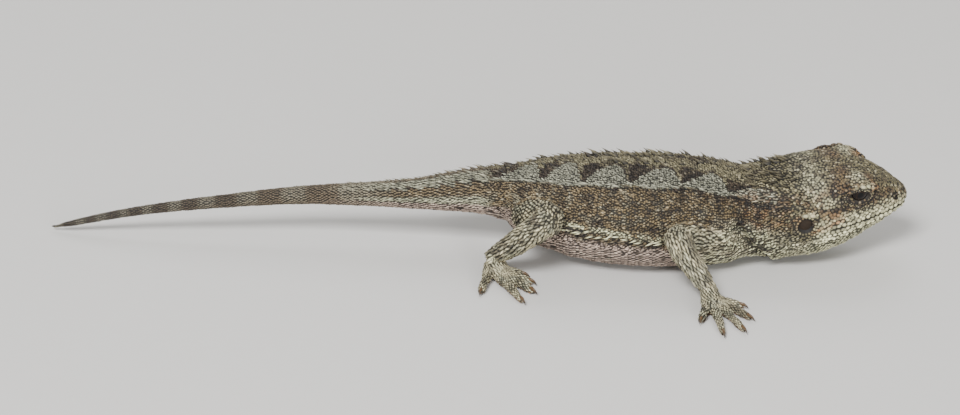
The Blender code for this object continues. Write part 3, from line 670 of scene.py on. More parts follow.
def trunk_marks(at, edge, coarse, fine):
    """The row of pale blotches on each side of the back, the dark notches and edges round them, and a painted
    shadow just below their lower edge.
    """
    x = at["x"]
    trunk = ease(x, -31, -28) * (1 - ease(x, 26.0, 27.0)) * (1 - at["limb"])
    # Each blotch rises from behind and falls steeply in front, and a thin strip links it to the next.
    phase = np.interp(x + 0.3 * coarse, SCALLOP_ENDS, np.arange(len(SCALLOP_ENDS))) % 1.0
    behind = np.clip((SCALLOP_PEAK - phase) / (SCALLOP_PEAK - 0.10), 0, 1) ** 1.6
    ahead = np.clip((phase - SCALLOP_PEAK) / (0.99 - SCALLOP_PEAK), 0, 1) ** 3.2
    crest = np.interp(x, *SCALLOP_CREST)
    low = SCALLOP_LOW + 1.2 * np.sin((phase - 0.4) * 2 * math.pi)
    waist = low - SCALLOP_LINK
    top = waist - (waist - crest) * (1 - np.maximum(behind, ahead))
    in_notch = (edge < top + 0.5) * ease(edge + 3 * coarse, crest - 6, crest + 3)
    below = ease(edge, low + 1, low + 3) * (1 - ease(edge, low + 9, low + 15))
    return {
        "trunk": trunk,
        "low": low,
        "blotch": trunk * ease(edge, top - 0.8, top + 0.8) * (1 - ease(edge, low - 0.5, low + 0.8)),
        "notch": trunk * in_notch * (1 - ease(phase, 0.28, 0.58)),
        "rim": trunk * bump(edge, top - 1.8, 1.4) * (edge < top) * (phase > 0.2),
        # A painted shadow just below the blotches' lower edge, under the row of pale spines there.
        "under": trunk * bump(edge, low + 1.9, 1.3) * ease(fine, -0.45, -0.1),
        "shade": trunk * ease(x, 10, 15) * below,
    }


def tail_marks(x, down, edge, coarse):
    """The toothed stripe that goes on over the root of the tail, a second one below it, and the rings."""
    tail = 1 - ease(x, -31, -28)
    root = tail * ease(x, -60, -50)
    tooth = SCALLOP_LOW + TOOTH_HEIGHT * ((x / TOOTH_LENGTH) % 1.0) - TOOTH_HEIGHT / 2
    beyond = tail * (1 - ease(x, -58, -46))
    wave = np.cos(2 * math.pi * np.interp(-(x + 0.6 * coarse), -TAIL_RINGS, np.arange(len(TAIL_RINGS))))
    in_ring = ease(wave, -0.3, 0.5)
    fainter = 1 - 0.6 * ease(down, 70, 110) * ease(x, -95, -85)  # under the tail
    return {
        "tail": tail,
        "stripe": tail * ease(x, -66, -50) * ease(edge, 10, 15) * (1 - ease(edge, tooth, tooth + 2)),
        "second": root * ease(edge, 86, 89) * (1 - ease(edge, 99, 104)),
        "tail_under": root * ease(edge, tooth, tooth + 2) * (1 - ease(edge, 80, 86)),
        "tooth_edge": tail * bump(edge, tooth + 3.5, 3.5) * (x > -56),
        "beyond": beyond,
        "ring_pale": beyond * in_ring * fainter,
        "ring_dark": beyond * (1 - in_ring) * fainter * (1 - 0.55 * ease(x, -84, -72)),
    }


def head_marks(at, head):
    """Pale lips and brows, painted shade along the lids, in the creases round the eye and in the nostril, a
    pale bar behind the eye, and a rusty streak below.
    """
    back, up, out = at["back"], at["up"], np.abs(at["left"])
    side = {name: head * bump(back, *row[:2]) * bump(up, *row[2:]) for name, row in SIDE_MARKS.items()}
    top = {name: head * bump(back, *row[:2]) * bump(out, *row[2:4]) * (up > row[4])
           for name, row in TOP_MARKS.items()}
    eye_x, eye_z = back - EYE_PLACE[0], up - EYE_PLACE[2]
    almond = np.hypot(eye_x / EYE_OPENING[0], eye_z / EYE_OPENING[1])
    outer = out > 4.5
    # Painted shade along the edge of the lids and in the creases round them.
    lids = (bump(almond, 1.1, 0.18) + 0.9 * bump(almond, 1.85, 0.14) * (1 - ease(eye_z, 0.8, 1.6))
            + 0.7 * bump(almond, 2.5, 0.16) * (eye_z < 0.4) * (eye_x > -3))
    bar_line = 0.10 * (back - 18)
    off_ear = np.hypot(back - EAR_PLACE[0], up - EAR_PLACE[2])
    off_nostril = np.hypot(back - NOSTRIL_PLACE[0], up - NOSTRIL_PLACE[2])
    by_ear = (at["region"] == 0) * (at["along"] < 30 * MM) * (out > 6)
    return {
        "lips": head * (1 - ease(back, 20, 23)) * (1 - ease(up - mouth_height(back), 2.2, 4.0))
        * ease(at["down"], 40, 60),
        "jaw": head * ease(at["down"], 96, 108),
        "lids": head * outer * lids,
        "lid_pale": head * outer * bump(almond, 1.48, 0.17) * (1 - ease(eye_z, 0.6, 1.2)),
        "bar": head * bump(up, 2.7 - bar_line, 0.75) * ease(back, 16, 17) * (1 - ease(back, 20.5, 23)),
        "bar_dark": head * bump(up, 1.3 - bar_line, 0.38) * ease(back, 16.2, 17) * (1 - ease(back, 20.5, 22)),
        "streak": head * bump(up, -1.1 - 0.42 * (back - 15.7), 0.55) * ease(back, 15, 16.2)
        * (1 - ease(back, 21.5, 23)),
        "brow": side["brow"] * outer,
        "dome": top["dome"],
        "temple": side["temple"],
        "above_ear": side["above_ear"],
        "olive": side["olive"],
        "tan": side["tan"] * outer + top["tan"],
        "behind_eye": side["behind_eye"] + top["behind_eye"],
        "ear": by_ear * (1 - ease(off_ear, EAR_RADIUS * 0.95, EAR_RADIUS * 1.15)),
        # The nostril's pit is painted dark: a painted shade.
        "nostril": head * bump(off_nostril, 0, 0.75) * (out > 2.5),
    }


def markings(at):
    """How much of each colour the hide has at the places found, with painted shade and shadow among the dark.
    """
    points, x, down, limb = at["points"], at["x"], at["down"], at["limb"]
    coarse, fine = grain(points, 2.4 * MM), grain(points, 0.9 * MM, 3.0)
    spots = grain(points, 1.7 * MM, 5.0)
    edge = down + 1.2 * coarse + 1.0 * fine
    head = (1 - ease(at["along"] / MM + 3 * coarse, 22, 31)) * (1 - limb)
    of_trunk, of_tail = trunk_marks(at, edge, coarse, fine), tail_marks(x, down, edge, coarse)
    of_head = head_marks(at, head)
    tail, blotch, notch = of_tail["tail"], of_trunk["blotch"], of_trunk["notch"]
    # Flanks, then belly and chest with small dark flecks, and the white row along the fold between them.
    # Painted shade lies in the throat crease and along both sides of that fold.
    on_flank = ease(down, of_trunk["low"] - 2, of_trunk["low"] + 4) * (1 - tail)
    fold_at = fold_down(x)
    chest = ease(x, 11, 15) * (1 - ease(x, 23, 26))
    belly_line = fold_at + 6 - 17 * chest + (4 + 8 * chest) * coarse
    belly = ease(down, belly_line - 2 - 6 * chest, belly_line + 5 + 4 * chest) * (1 - limb) \
        * (1 - 0.6 * head) * ease(x, -70, -45)
    white = belly * ease(x, 10, 14) * (1 - head)
    flecks = belly * ease(grain(points, 0.75 * MM, 11.0) + 0.29 * white, 0.36, 0.42)
    # Painted shade in the crease behind the throat fold.
    crease = (1 - limb) * ease(down, 60, 84) * bump(at["along"] / MM - throat_fold(down), 0.4, 0.55)
    in_fold = ease(x, -17.5, -15.5) * (1 - ease(x, 3.0, 5.0)) * (1 - limb)
    fold = in_fold * bump(down, fold_at + 0.5, 1.1) * ease(fine, -0.5, 0.0)
    # Painted shade along both sides of the fold, deepest just below it.
    fold_shade_lines = bump(down, fold_at + 5.0, 2.4) + 0.5 * bump(down, fold_at - 4, 2.0)
    painted_fold_shade = in_fold * fold_shade_lines * ease(fine, -0.35, 0.0)
    # Brown blotches on crown and neck, and the mottling of all the rest.
    crown = head * ease(coarse + 0.6 * fine, 0.0, 0.35) * (1 - ease(down, 60, 80)) * (1 - of_head["dome"])
    neck = (1 - 0.42 * head) * (1 - limb) * ease(x, 17, 21) * ease(down, 32, 46) * (1 - ease(down, 78, 92))
    mottle = ease(spots + 0.5 * fine + 0.7 * grain(points, 3.4 * MM, 9.0), 0.08, 0.42) \
        * (1 - blotch) * (1 - belly) * (1 - 0.7 * head) * (1 - 0.8 * tail)
    tan_flecks = on_flank * (1 - belly) * (1 - head) \
        * ease(grain(points, 1.5 * MM, 17.0) + 0.5 * fine, 0.1, 0.4)
    leg = limb * np.isin(at["region"], (2, 4))
    limb_pale = limb * ease(grain(points, 2.2 * MM, 2.0) + 0.4 * fine, -0.15, 0.3)
    soles = ease(-at["outward"][:, 2], 0.25, 0.7) * (at["region"] > 4)
    throat = (1 - head) * ease(x, 19, 23) * ease(down, 86, 96)
    # How strongly each mark shows in each colour.
    amounts = {**of_trunk, **of_tail, **of_head}
    pale = blotch + 0.5 * limb_pale + 0.5 * throat + 0.4 * tan_flecks
    white = 0.95 * white + 1.2 * fold + 0.35 * limb_pale * ease(fine, -0.2, 0.3) + 0.3 * throat
    # Of the dark here, the throat crease and the bands along the fold are painted shade.
    dark = (0.92 * notch + 0.9 * flecks + 0.8 * painted_fold_shade + 0.52 * crown + 0.95 * crease
            + 0.3 * neck * ease(spots, -0.3, 0.2) + 0.35 * of_trunk["trunk"] * bump(down, 0, 8)
            + (0.62 - 0.07 * limb + 0.2 * leg) * mottle)
    rust = 0.8 * soles + 0.5 * neck * ease(fine, -0.4, 0.3) + 0.35 * notch * ease(fine, 0, 0.4)
    shares = {
        "pale": {"stripe": 0.95, "second": 0.95, "beyond": 0.1, "ring_pale": 0.6, "dome": 0.5, "temple": 0.4},
        "white": {"lips": 0.62, "jaw": 0.65, "bar": 0.6, "brow": 0.6, "dome": 0.35, "temple": 0.2,
                  "above_ear": 1.3, "stripe": 0.12, "second": 0.35, "lid_pale": 0.3},
        # Of these dark marks, under is a painted shadow, and lids and nostril are painted shade.
        "dark": {"rim": 0.8, "under": 0.95, "shade": 0.4, "ring_dark": 0.5, "bar_dark": 0.9, "lids": 1.0,
                 "behind_eye": 0.5, "nostril": 1.2, "ear": 1.2, "tooth_edge": 0.95},
        "rust": {"beyond": 0.12, "streak": 0.75, "olive": 0.5, "tan": 0.5, "shade": 0.15, "behind_eye": 0.3},
    }
    flank = on_flank * (1 - head) + 0.5 * notch + 0.4 * of_trunk["rim"] + of_tail["tail_under"]
    found = {
        "head": head,
        "limb": limb,
        "tail": tail * (1 - 0.85 * of_tail["tail_under"]),
        "flank": np.clip(flank, 0, 1),
        "belly": np.clip(belly, 0, 1),
        "pale": pale,
        "white": white,
        "dark": dark,
        "rust": rust,
    }
    for colour, parts in shares.items():
        marked = sum(share * amounts[mark] for mark, share in parts.items())
        found[colour] = np.clip(found[colour] + marked, 0, 1)
    found["dark"] = found["dark"] * (1 - np.clip(fold * 1.2 + of_head["brow"], 0, 1))
    return found


def store(mesh, values):
    """Keeps numbers on a mesh's points, for its material to read."""
    for name, numbers in values.items():
        layer = mesh.attributes.new(name, "FLOAT", "POINT")
        layer.data.foreach_set("value", np.asarray(numbers, dtype=np.float32))


points, outward = read_points(skin_mesh), read_normals(skin_mesh)
skin_places = find_places(points)
skin_places["outward"] = outward
store(skin_mesh, markings(skin_places))

BACK_OLIVE = (0.165, 0.145, 0.080)
FLANK_BROWN = (0.118, 0.085, 0.041)
HEAD_GREEN = (0.092, 0.079, 0.039)
LIMB_BUFF = (0.285, 0.255, 0.160)
TAIL_GREY = (0.105, 0.084, 0.053)
BLOTCH_GREY = (0.186, 0.184, 0.136)
WHITE = (0.430, 0.418, 0.262)
BELLY_PINK = (0.305, 0.232, 0.186)
DARK_BROWN = (0.020, 0.012, 0.006)
RUST = (0.165, 0.062, 0.014)


def hide_colour(finish):
    """The animal's markings, with the painted shade and shadow that the dark holds, from the numbers that
    skin and scales carry.
    """
    colour = finish.mix(finish.value("flank"), BACK_OLIVE, FLANK_BROWN)
    colour = finish.mix(finish.value("head"), colour, HEAD_GREEN)
    colour = finish.mix(finish.value("tail"), colour, TAIL_GREY)
    colour = finish.mix(finish.value("limb"), colour, LIMB_BUFF)
    colour = finish.mix(finish.value("belly"), colour, BELLY_PINK)
    colour = finish.mix(finish.value("pale"), colour, BLOTCH_GREY)
    colour = finish.mix(finish.value("white"), colour, WHITE)
    colour = finish.mix(finish.value("rust"), colour, RUST)
    return finish.mix(finish.value("dark"), colour, DARK_BROWN)


skin_finish = Finish("skin")
pores = skin_finish.noise(0.35 * MM, 4)
# The skin between the scales is painted far darker than the markings: a painted shade for the gaps between
# the scales.
between = skin_finish.shade(hide_colour(skin_finish), 0.05 + pores * 0.16)
wrinkle = skin_finish.node("ShaderNodeBump", {}, {"Height": pores, "Strength": 0.5, "Distance": 0.1 * MM})
skin_finish.set(Base_Color=between, Roughness=0.62 + pores * 0.2, Normal=wrinkle)
skin_mesh.materials.clear()
skin_mesh.materials.append(skin_finish.material)
FLESH_NODES = ["head", "lower_jaw", "neck", "torso"] + [f"tail_{i}" for i in range(1, 5)]
for side in ("right", "left"):
    FLESH_NODES += [f"{side}_{part}" for part in
                    ("upper_arm", "forearm", "hand", "thigh", "shin", "foot")]
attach(skin, "root")
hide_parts(*FLESH_NODES)

# Scales of back, flanks and belly
# Small overlapping plates of dry horn in uneven rows, each with a keel that ends in a low point
# towards the tail. Those of the belly are flatter, and all grow from the skin.
RANDOM = np.random.default_rng(11)
skin_faces = [tuple(face.vertices) for face in skin_mesh.polygons]
skin_tree = BVHTree.FromPolygons([Vector(p) for p in points], skin_faces)


def settle(places, most):
    """The nearest points of the skin and its way out there, and which places lie within reach of it."""
    found, normals, kept = [], [], []
    for i, place in enumerate(places):
        spot, _, face, _ = skin_tree.find_nearest(Vector(place), most)
        if spot is not None:
            found.append(spot)
            normals.append(outward[list(skin_faces[face])].mean(axis=0))
            kept.append(i)
    return np.array(found).reshape(-1, 3), unit(np.array(normals).reshape(-1, 3)), np.array(kept, int)


def rows(line, start, end, wide, pitch, jitter=0.16):
    """Where scales stand on a line's surface: in rings along it, each turned half a scale from the last."""
    turns = np.linspace(0, 2 * math.pi, 97)
    s, odd, found = start, 0, []
    while s < end:
        ring = line.surface(s, turns)
        arc = np.concatenate([[0], np.cumsum(np.linalg.norm(np.diff(ring, axis=0), axis=1))])
        count = max(round(arc[-1] / wide), 5)
        share = (np.arange(count) + 0.5 * odd + RANDOM.uniform(-jitter, jitter, count)) / count
        around = np.interp(share % 1.0 * arc[-1], arc, turns)
        found.append(np.column_stack([s + RANDOM.uniform(-jitter, jitter, count) * pitch, around]))
        s, odd = s + pitch, 1 - odd
    return np.vstack(found)


def scale_roots(line, where, inset, most=0.7 * MM, stray=0.16):
    """Roots of scales on the skin near a line's surface, with the way out and the lie there."""
    wanted = line.surface(where[:, 0], where[:, 1], -inset)
    spots, normals, kept = settle(wanted, most)
    where = where[kept]
    ahead = line.frame(where[:, 0])[0]
    faces_out = ((spots - line.centre(where[:, 0])) * normals).sum(axis=1) > 0
    spots, normals, ahead = spots[faces_out], normals[faces_out], ahead[faces_out]
    return spots, normals, lie_along(-ahead, normals, stray)


def lie_along(direction, normals, stray=0.16):
    """The lie of scales on the skin, along a direction, each turned a little at random."""
    lie = unit(direction - normals * (direction * normals).sum(axis=1, keepdims=True))
    turn = RANDOM.normal(0, stray, len(lie))[:, None]
    return lie * np.cos(turn) + np.cross(normals, lie) * np.sin(turn)


# Each form is given as points (back, across, out), triangles, and how near each point is to the ridge, which
# sets the painted highlight near the keel and the painted shade at the rim in the scale's colour.
KEELED = (
    ((-0.50, 0, -0.06), (-0.28, 0.36, -0.05), (-0.28, -0.36, -0.05), (0.05, 0.50, 0.02),
     (0.05, -0.50, 0.02), (0.36, 0.30, 0.12), (0.36, -0.30, 0.12), (0.70, 0, 0.30),
     (-0.30, 0, 0.12), (0.05, 0, 0.30), (0.42, 0, 0.40), (0.00, 0, -0.60)),
    ((0, 8, 1), (0, 2, 8), (1, 9, 3), (1, 8, 9), (2, 9, 8), (2, 4, 9), (3, 10, 5), (3, 9, 10), (4, 10, 9),
     (4, 6, 10), (5, 10, 7), (6, 7, 10), (11, 0, 1), (11, 1, 3), (11, 3, 5), (11, 5, 7), (11, 7, 6),
     (11, 6, 4), (11, 4, 2), (11, 2, 0)),
    (0.0, 0.1, 0.1, 0.2, 0.2, 0.3, 0.3, 0.55, 0.45, 1.0, 0.95, 0.0),
)


def ring_form(sides, rings, top, bottom):
    """A closed form from a top, a bottom, and rings of (radius, height, shift back, how near the ridge)."""
    verts, ridge = [], []
    for radius, height, shift, near in rings:
        for k in range(sides):
            turn = 2 * math.pi * k / sides
            verts.append((shift + radius * math.cos(turn), radius * math.sin(turn), height))
            ridge.append(near)
    faces = []
    for r in range(len(rings) - 1):
        for k in range(sides):
            j, low, high = (k + 1) % sides, r * sides, (r + 1) * sides
            faces += [(low + k, low + j, high + j), (low + k, high + j, high + k)]
    verts += [top, bottom]
    ridge += [1.0, 0.0]
    last = (len(rings) - 1) * sides
    for k in range(sides):
        j = (k + 1) % sides
        faces += [(last + k, last + j, len(verts) - 2), (j, k, len(verts) - 1)]
    return tuple(verts), tuple(faces), tuple(ridge)


GRANULE = ring_form(6, ((0.58, -0.12, 0, 0.0), (0.50, 0.12, 0, 0.55), (0.30, 0.27, 0, 0.95)), (0, 0, 0.31),
                    (0, 0, -0.5))
SPINE = ring_form(6, ((0.50, -0.35, 0, 0.0), (0.36, 0.16, 0.10, 0.3), (0.17, 0.52, 0.42, 0.8)),
                  (1.0, 0, 0.86), (0, 0, -0.7))

coat = []  # every group of scales: piece, form, spots, normals, lie, length, width, height, raggedness


def add_scales(piece, form, spots, normals, lie, long, wide, high, ragged=0.10):
    """Keeps a group of scales to be made into the mesh of one piece."""
    even = np.ones(len(spots))
    coat.append((piece, form, spots, normals, lie, long * even, wide * even, high * even, ragged))


def pick(chosen, *arrays):
    """The chosen rows of several arrays."""
    return [array[chosen] for array in arrays]


BACK_SCALE, BACK_PITCH = 0.54 * MM, 0.44 * MM
BELLY_SCALE, BELLY_PITCH = 0.84 * MM, 0.60 * MM
FLANK_FROM, BELLY_FROM = 50, 106  # degrees between the way out and straight up
trunk_start, trunk_end = HEAD_LENGTH + 4.5 * MM, along_at(-31.0)


def lowness(normals):
    """How far the way out of the skin is turned from straight up, in degrees."""
    return np.degrees(np.arccos(np.clip(normals[:, 2], -1, 1)))


where = rows(body, trunk_start, trunk_end, BACK_SCALE, BACK_PITCH, 0.30)
spots, normals, lie = scale_roots(body, where, SCALE_DEPTH, stray=0.34)
high_up = lowness(normals)
size = BACK_SCALE * RANDOM.uniform(0.8, 1.25, len(spots))
size *= 1 + 0.5 * (RANDOM.uniform(0, 1, len(spots)) > 0.97)  # here and there a larger one
for piece, chosen in (("scales_of_back", high_up < FLANK_FROM),
                      ("scales_of_flanks", (high_up >= FLANK_FROM) & (high_up < BELLY_FROM))):
    add_scales(piece, KEELED, *pick(chosen, spots, normals, lie), 1.15 * size[chosen], 1.05 * size[chosen],
               1.45 * size[chosen], 0.16)
where = rows(body, trunk_start, trunk_end, BELLY_SCALE, BELLY_PITCH, 0.08)
spots, normals, lie = scale_roots(body, where, SCALE_DEPTH, stray=0.08)
belly = lowness(normals) >= BELLY_FROM
add_scales("scales_of_belly", KEELED, *pick(belly, spots, normals, lie), 1.35 * BELLY_SCALE,
           0.98 * BELLY_SCALE, 0.5 * MM)

# Scales of the tail
# Longer, strongly keeled plates in rings, which get smaller to the tip.
TAIL_SCALE, TAIL_PITCH = 0.62 * MM, 0.48 * MM
where = rows(body, trunk_end, body.length - 1.0 * MM, TAIL_SCALE, TAIL_PITCH)
spots, normals, lie = scale_roots(body, where, SCALE_DEPTH, stray=0.10)
taper = np.interp(-spots[:, 0] / MM, (31, 60, 119), (1.0, 0.85, 0.45))
add_scales("scales_of_tail", KEELED, spots, normals, lie, 1.45 * TAIL_SCALE * taper,
           0.98 * TAIL_SCALE * taper, 0.80 * MM * taper)

# Scales of arms and legs
# Roundish plates on the shoulder and thigh, then longer keeled ones in rows down each limb, which
# overlap towards the foot, and small ones on each digit.
ARM_SCALES = ((0.84, 0.80, 1.55), (0.74, 0.92, 2.3))  # upper and lower: width and pitch in mm, and stretch
LEG_SCALES = ((0.86, 0.72, 1.25), (0.80, 0.80, 1.7))
for number, line in enumerate(limb_lines):
    arm = number % 2 == 0
    piece = "scales_of_arms" if arm else "scales_of_legs"
    bend = line.length * 0.5
    upper, lower = ARM_SCALES if arm else LEG_SCALES
    for start, end, (wide, pitch, stretch) in ((0.5 * MM, bend, upper), (bend, line.length, lower)):
        where = rows(line, start, end, wide * MM, pitch * MM)
        spots, normals, lie = scale_roots(line, where, SCALE_DEPTH * 0.8, 0.5 * MM)
        size = wide * MM * RANDOM.uniform(0.85, 1.2, len(spots))
        add_scales(piece, KEELED, spots, normals, lie, stretch * size, 0.98 * size, 1.15 * size)
DIGIT_SCALE, DIGIT_PITCH = 0.62 * MM, 0.52 * MM
for line in palm_lines + digit_lines:
    where = rows(line, 0.3 * MM, line.length - 0.2 * MM, DIGIT_SCALE, DIGIT_PITCH, 0.06)
    spots, normals, lie = scale_roots(line, where, DIGIT_SCALES, 0.35 * MM, 0.06)
    add_scales("scales_of_hands_and_feet", KEELED, spots, normals, lie, 1.3 * DIGIT_SCALE, 0.98 * DIGIT_SCALE,
               0.55 * MM)

# Scales of the head
# A mosaic of small domed granules, larger on the lips and snout, tiny round the eyes, with rows of
# squarish plates along each lip and a row of larger ones over each eye.
LIP_ROWS = ((0.62, 1.0), (-0.62, 1.0), (1.5, 0.9), (-1.5, 0.9))  # mm over the line of the mouth, and size
BROW_PLATES = (  # mm: back, out and up, and size
    (14.2, 7.7, 5.5, 1.0),
    (12.9, 7.6, 5.7, 1.25),
    (11.6, 7.1, 5.5, 1.25),
    (10.4, 6.7, 5.1, 1.0),
    (9.6, 6.1, 4.7, 1.25),
    (8.6, 5.6, 4.2, 0.9),
)
EYE_RINGS = ((1.24, 28, 0.28), (1.5, 26, 0.38), (2.15, 30, 0.46), (2.8, 32, 0.5))  # reach, number, size in mm


def head_scales(places, long, wide, high):
    """Sets granules at places of the head, in mm, which lie along the head."""
    spots, normals, _ = settle([head_point(*place) for place in places], 1.2 * MM)
    lie = lie_along(-HEAD_AHEAD, normals, 0.05)
    add_scales("scales_of_head", GRANULE, spots, normals, lie, long * MM, wide * MM, high * MM, 0.07)


def head_ring(back, left, up, wide, high, count, size, tall, top=2.0):
    """A ring of granules round a place on the side of the head, in mm, which may be open at the top."""
    turns = np.arange(count) * 2 * math.pi / count
    places = [(back + wide * math.cos(t), left, up + high * math.sin(t)) for t in turns if math.sin(t) < top]
    head_scales(places, size, size, tall)


for side in (1, -1):
    lip_back = np.linspace(1.2, MOUTH_CORNER[0] + 0.6, 17)
    half = smooth(body.keys, body.wide, lip_back * MM) / MM
    for above, size in LIP_ROWS:
        places = [(b + 0.5 * (abs(above) > 1), side * (h + 0.2), mouth_height(b) + above)
                  for b, h in zip(lip_back, half)]
        head_scales(places, 1.14 * size, 0.92 * size, 0.60)
    for b, o, u, size in BROW_PLATES:
        head_scales([(b, side * o, u)], 1.15 * size, 0.85 * size, 0.75)
    for ring, count, size in EYE_RINGS:
        ring_out = side * (EYE_PLACE[1] + 3.0 - 0.2 * ring ** 2)
        head_ring(EYE_PLACE[0], ring_out, EYE_PLACE[2], EYE_OPENING[0] * ring, EYE_OPENING[1] * ring, count,
                  size, 0.34, 2.0 if ring < 1.5 else 0.6)
    head_ring(NOSTRIL_PLACE[0], side * 4.3, NOSTRIL_PLACE[2], 0.85, 0.85, 9, 0.55, 0.6)
    head_scales([(EAR_PLACE[0] - 0.9, side * 9.5, 0.3), (EAR_PLACE[0] + 0.6, side * 9.5, 0.2)], 1.5, 1.0, 1.0)
    head_ring(EAR_PLACE[0], side * EAR_PLACE[1], EAR_PLACE[2], 1.95, 1.95, 18, 0.6, 0.5)

# The mosaic itself, and any gap that the rows leave elsewhere: spots are drawn on the skin in turn,
# and each is kept where no scale stands close to it.
cells = {}
CELL = 0.9 * MM


def near_scale(spot, reach):
    """True where a scale already stands within reach."""
    cx, cy, cz = (int(math.floor(c / CELL)) for c in spot)
    for key in ((cx + i, cy + j, cz + k) for i in (-1, 0, 1) for j in (-1, 0, 1) for k in (-1, 0, 1)):
        for other in cells.get(key, ()):
            far = (spot[0] - other[0]) ** 2 + (spot[1] - other[1]) ** 2 + (spot[2] - other[2]) ** 2
            if far < reach * reach:
                return True
    return False


def keep_spot(spot):
    """Notes that a scale stands here."""
    cells.setdefault(tuple(int(math.floor(c / CELL)) for c in spot), []).append(tuple(spot))


lie_tree = kdtree.KDTree(sum(len(group[2]) for group in coat))
all_lie = []
for group in coat:
    for spot, direction in zip(group[2], group[4]):
        keep_spot(spot)
        lie_tree.insert(Vector(spot), len(all_lie))
        all_lie.append(direction)
lie_tree.balance()
all_lie = np.array(all_lie)
face_middles = np.array([points[list(face)].mean(axis=0) for face in skin_faces])
face_normals = unit(np.array([outward[list(face)].mean(axis=0) for face in skin_faces]))
face_places = find_places(face_middles)
f_back, f_up, f_out = face_places["back"], face_places["up"], np.abs(face_places["left"])
off_eye, off_ear = (off_place(f_back, f_out, f_up, place) for place in (EYE_PLACE, EAR_PLACE))
off_nostril = off_place(f_back, f_out, f_up, (NOSTRIL_PLACE[0], 4.2, NOSTRIL_PLACE[2]))
on_head = face_places["along"] < trunk_start
spacing = np.where(on_head, 0.46, 0.52)
spacing = np.where(on_head & (f_up < 2.0) & (f_back < 21), 0.58, spacing)
spacing = np.where(on_head & (off_eye < 4.4) & (f_out > EYE_PLACE[1]) & (f_up < 5), 0.38, spacing)
spacing = np.where(face_places["region"] > 4, 0.42, spacing)
eyeball = (np.abs(f_back - EYE_PLACE[0]) < EYE_OPENING[0]) & (np.abs(f_up - EYE_PLACE[2]) < EYE_OPENING[1]) \
    & (off_eye < EYE_RADIUS + 0.25)
mouth_slit = on_head & (np.abs(f_up - mouth_height(f_back)) < 0.3) & (f_back < MOUTH_CORNER[0]) \
    & (f_out > 0.5)
open_skin = ~eyeball & (off_nostril > NOSTRIL_RADIUS * 1.2) & (off_ear > EAR_RADIUS) & ~mouth_slit
chosen = []
for i in RANDOM.permutation(len(face_middles)):
    if open_skin[i] and not near_scale(face_middles[i], spacing[i] * MM):
        keep_spot(face_middles[i])
        chosen.append(i)
chosen = np.array(chosen)
fill_normals = face_normals[chosen]
fill_lie = np.array([all_lie[lie_tree.find(Vector(face_middles[i]))[1]] for i in chosen])
mosaic = on_head[chosen]
ahead = body.frame(face_places["along"][chosen])[0]
fill_lie = lie_along(np.where(mosaic[:, None], -ahead, fill_lie), fill_normals, 0.35)
size = spacing[chosen] * 1.28 * MM * RANDOM.uniform(0.85, 1.25, len(chosen))
# Granules on the head give way to keeled scales over the neck and throat.
keels = ease(face_places["along"][chosen] / MM, 19, 27) * 0.8 + 0.9 * (face_places["down"][chosen] > 108)
keeled = RANDOM.uniform(0, 1, len(chosen)) < keels
for piece, part, form, long, high in (("scales_of_head", mosaic & ~keeled, GRANULE, 1.1, 0.62),
                                      ("scales_of_neck", mosaic & keeled, KEELED, 1.25, 1.0),
                                      ("scales_between", ~mosaic, KEELED, 1.3, 1.0)):
    add_scales(piece, form, face_middles[chosen][part], fill_normals[part], fill_lie[part], size[part] * long,
               size[part], high * size[part])

# Spines
# Pointed scales that stand up from the rest: a low crest down the back, rows along and between the
# blotches, scattered ones on neck and flank, the white row on the fold, and rows on the tail.


def spine_row(x_from, x_to, count, degrees, length, wide=0.8, wander=2.0, lean=1.0):
    """Spines along one line of the body, on both sides of its ridge or along it, with their length in mm."""
    for side in (1, -1)[:1 if degrees == 0 else 2]:
        s = np.linspace(along_at(x_from), along_at(x_to), count)
        s = s + RANDOM.uniform(-0.4, 0.4, count) * (s[1] - s[0])
        lean_here = back_lean(along_x(s)) * (degrees < 80)
        turn = math.pi / 2 - np.radians(lean_here + side * (degrees + RANDOM.uniform(-wander, wander, count)))
        spots, normals, kept = settle(body.surface(s, turn, -SCALE_DEPTH), 1.0 * MM)
        lie = lie_along(-body.frame(s[kept])[0], normals, 0.10)
        tall = np.interp(kept / (count - 1), np.linspace(0, 1, len(length)), length)
        tall = tall * RANDOM.uniform(0.6, 1.3, len(kept)) * MM
        add_scales("spines", SPINE, spots, normals, lie, tall, wide * MM, tall * 0.62 * lean, 0.05)


def fold_spines(count, length, wide):
    """The white row along the fold of each flank."""
    for side in (1, -1):
        s = np.linspace(along_at(4.0), along_at(-16.0), count) + RANDOM.uniform(-0.5, 0.5, count) * MM
        turn = math.pi / 2 - side * np.radians(fold_down(along_x(s)) + RANDOM.uniform(-1.5, 1.5, count))
        spots, normals, kept = settle(body.surface(s, turn, 0.0), 1.2 * MM)
        lie = lie_along(-body.frame(s[kept])[0] - 0.05 * np.array((0, 0, 1.0)), normals, 0.25)
        tall = length * RANDOM.uniform(0.65, 1.2, len(kept)) * MM
        add_scales("spines_of_folds", SPINE, spots, normals, lie, tall, wide * MM, tall * 0.45, 0.05)


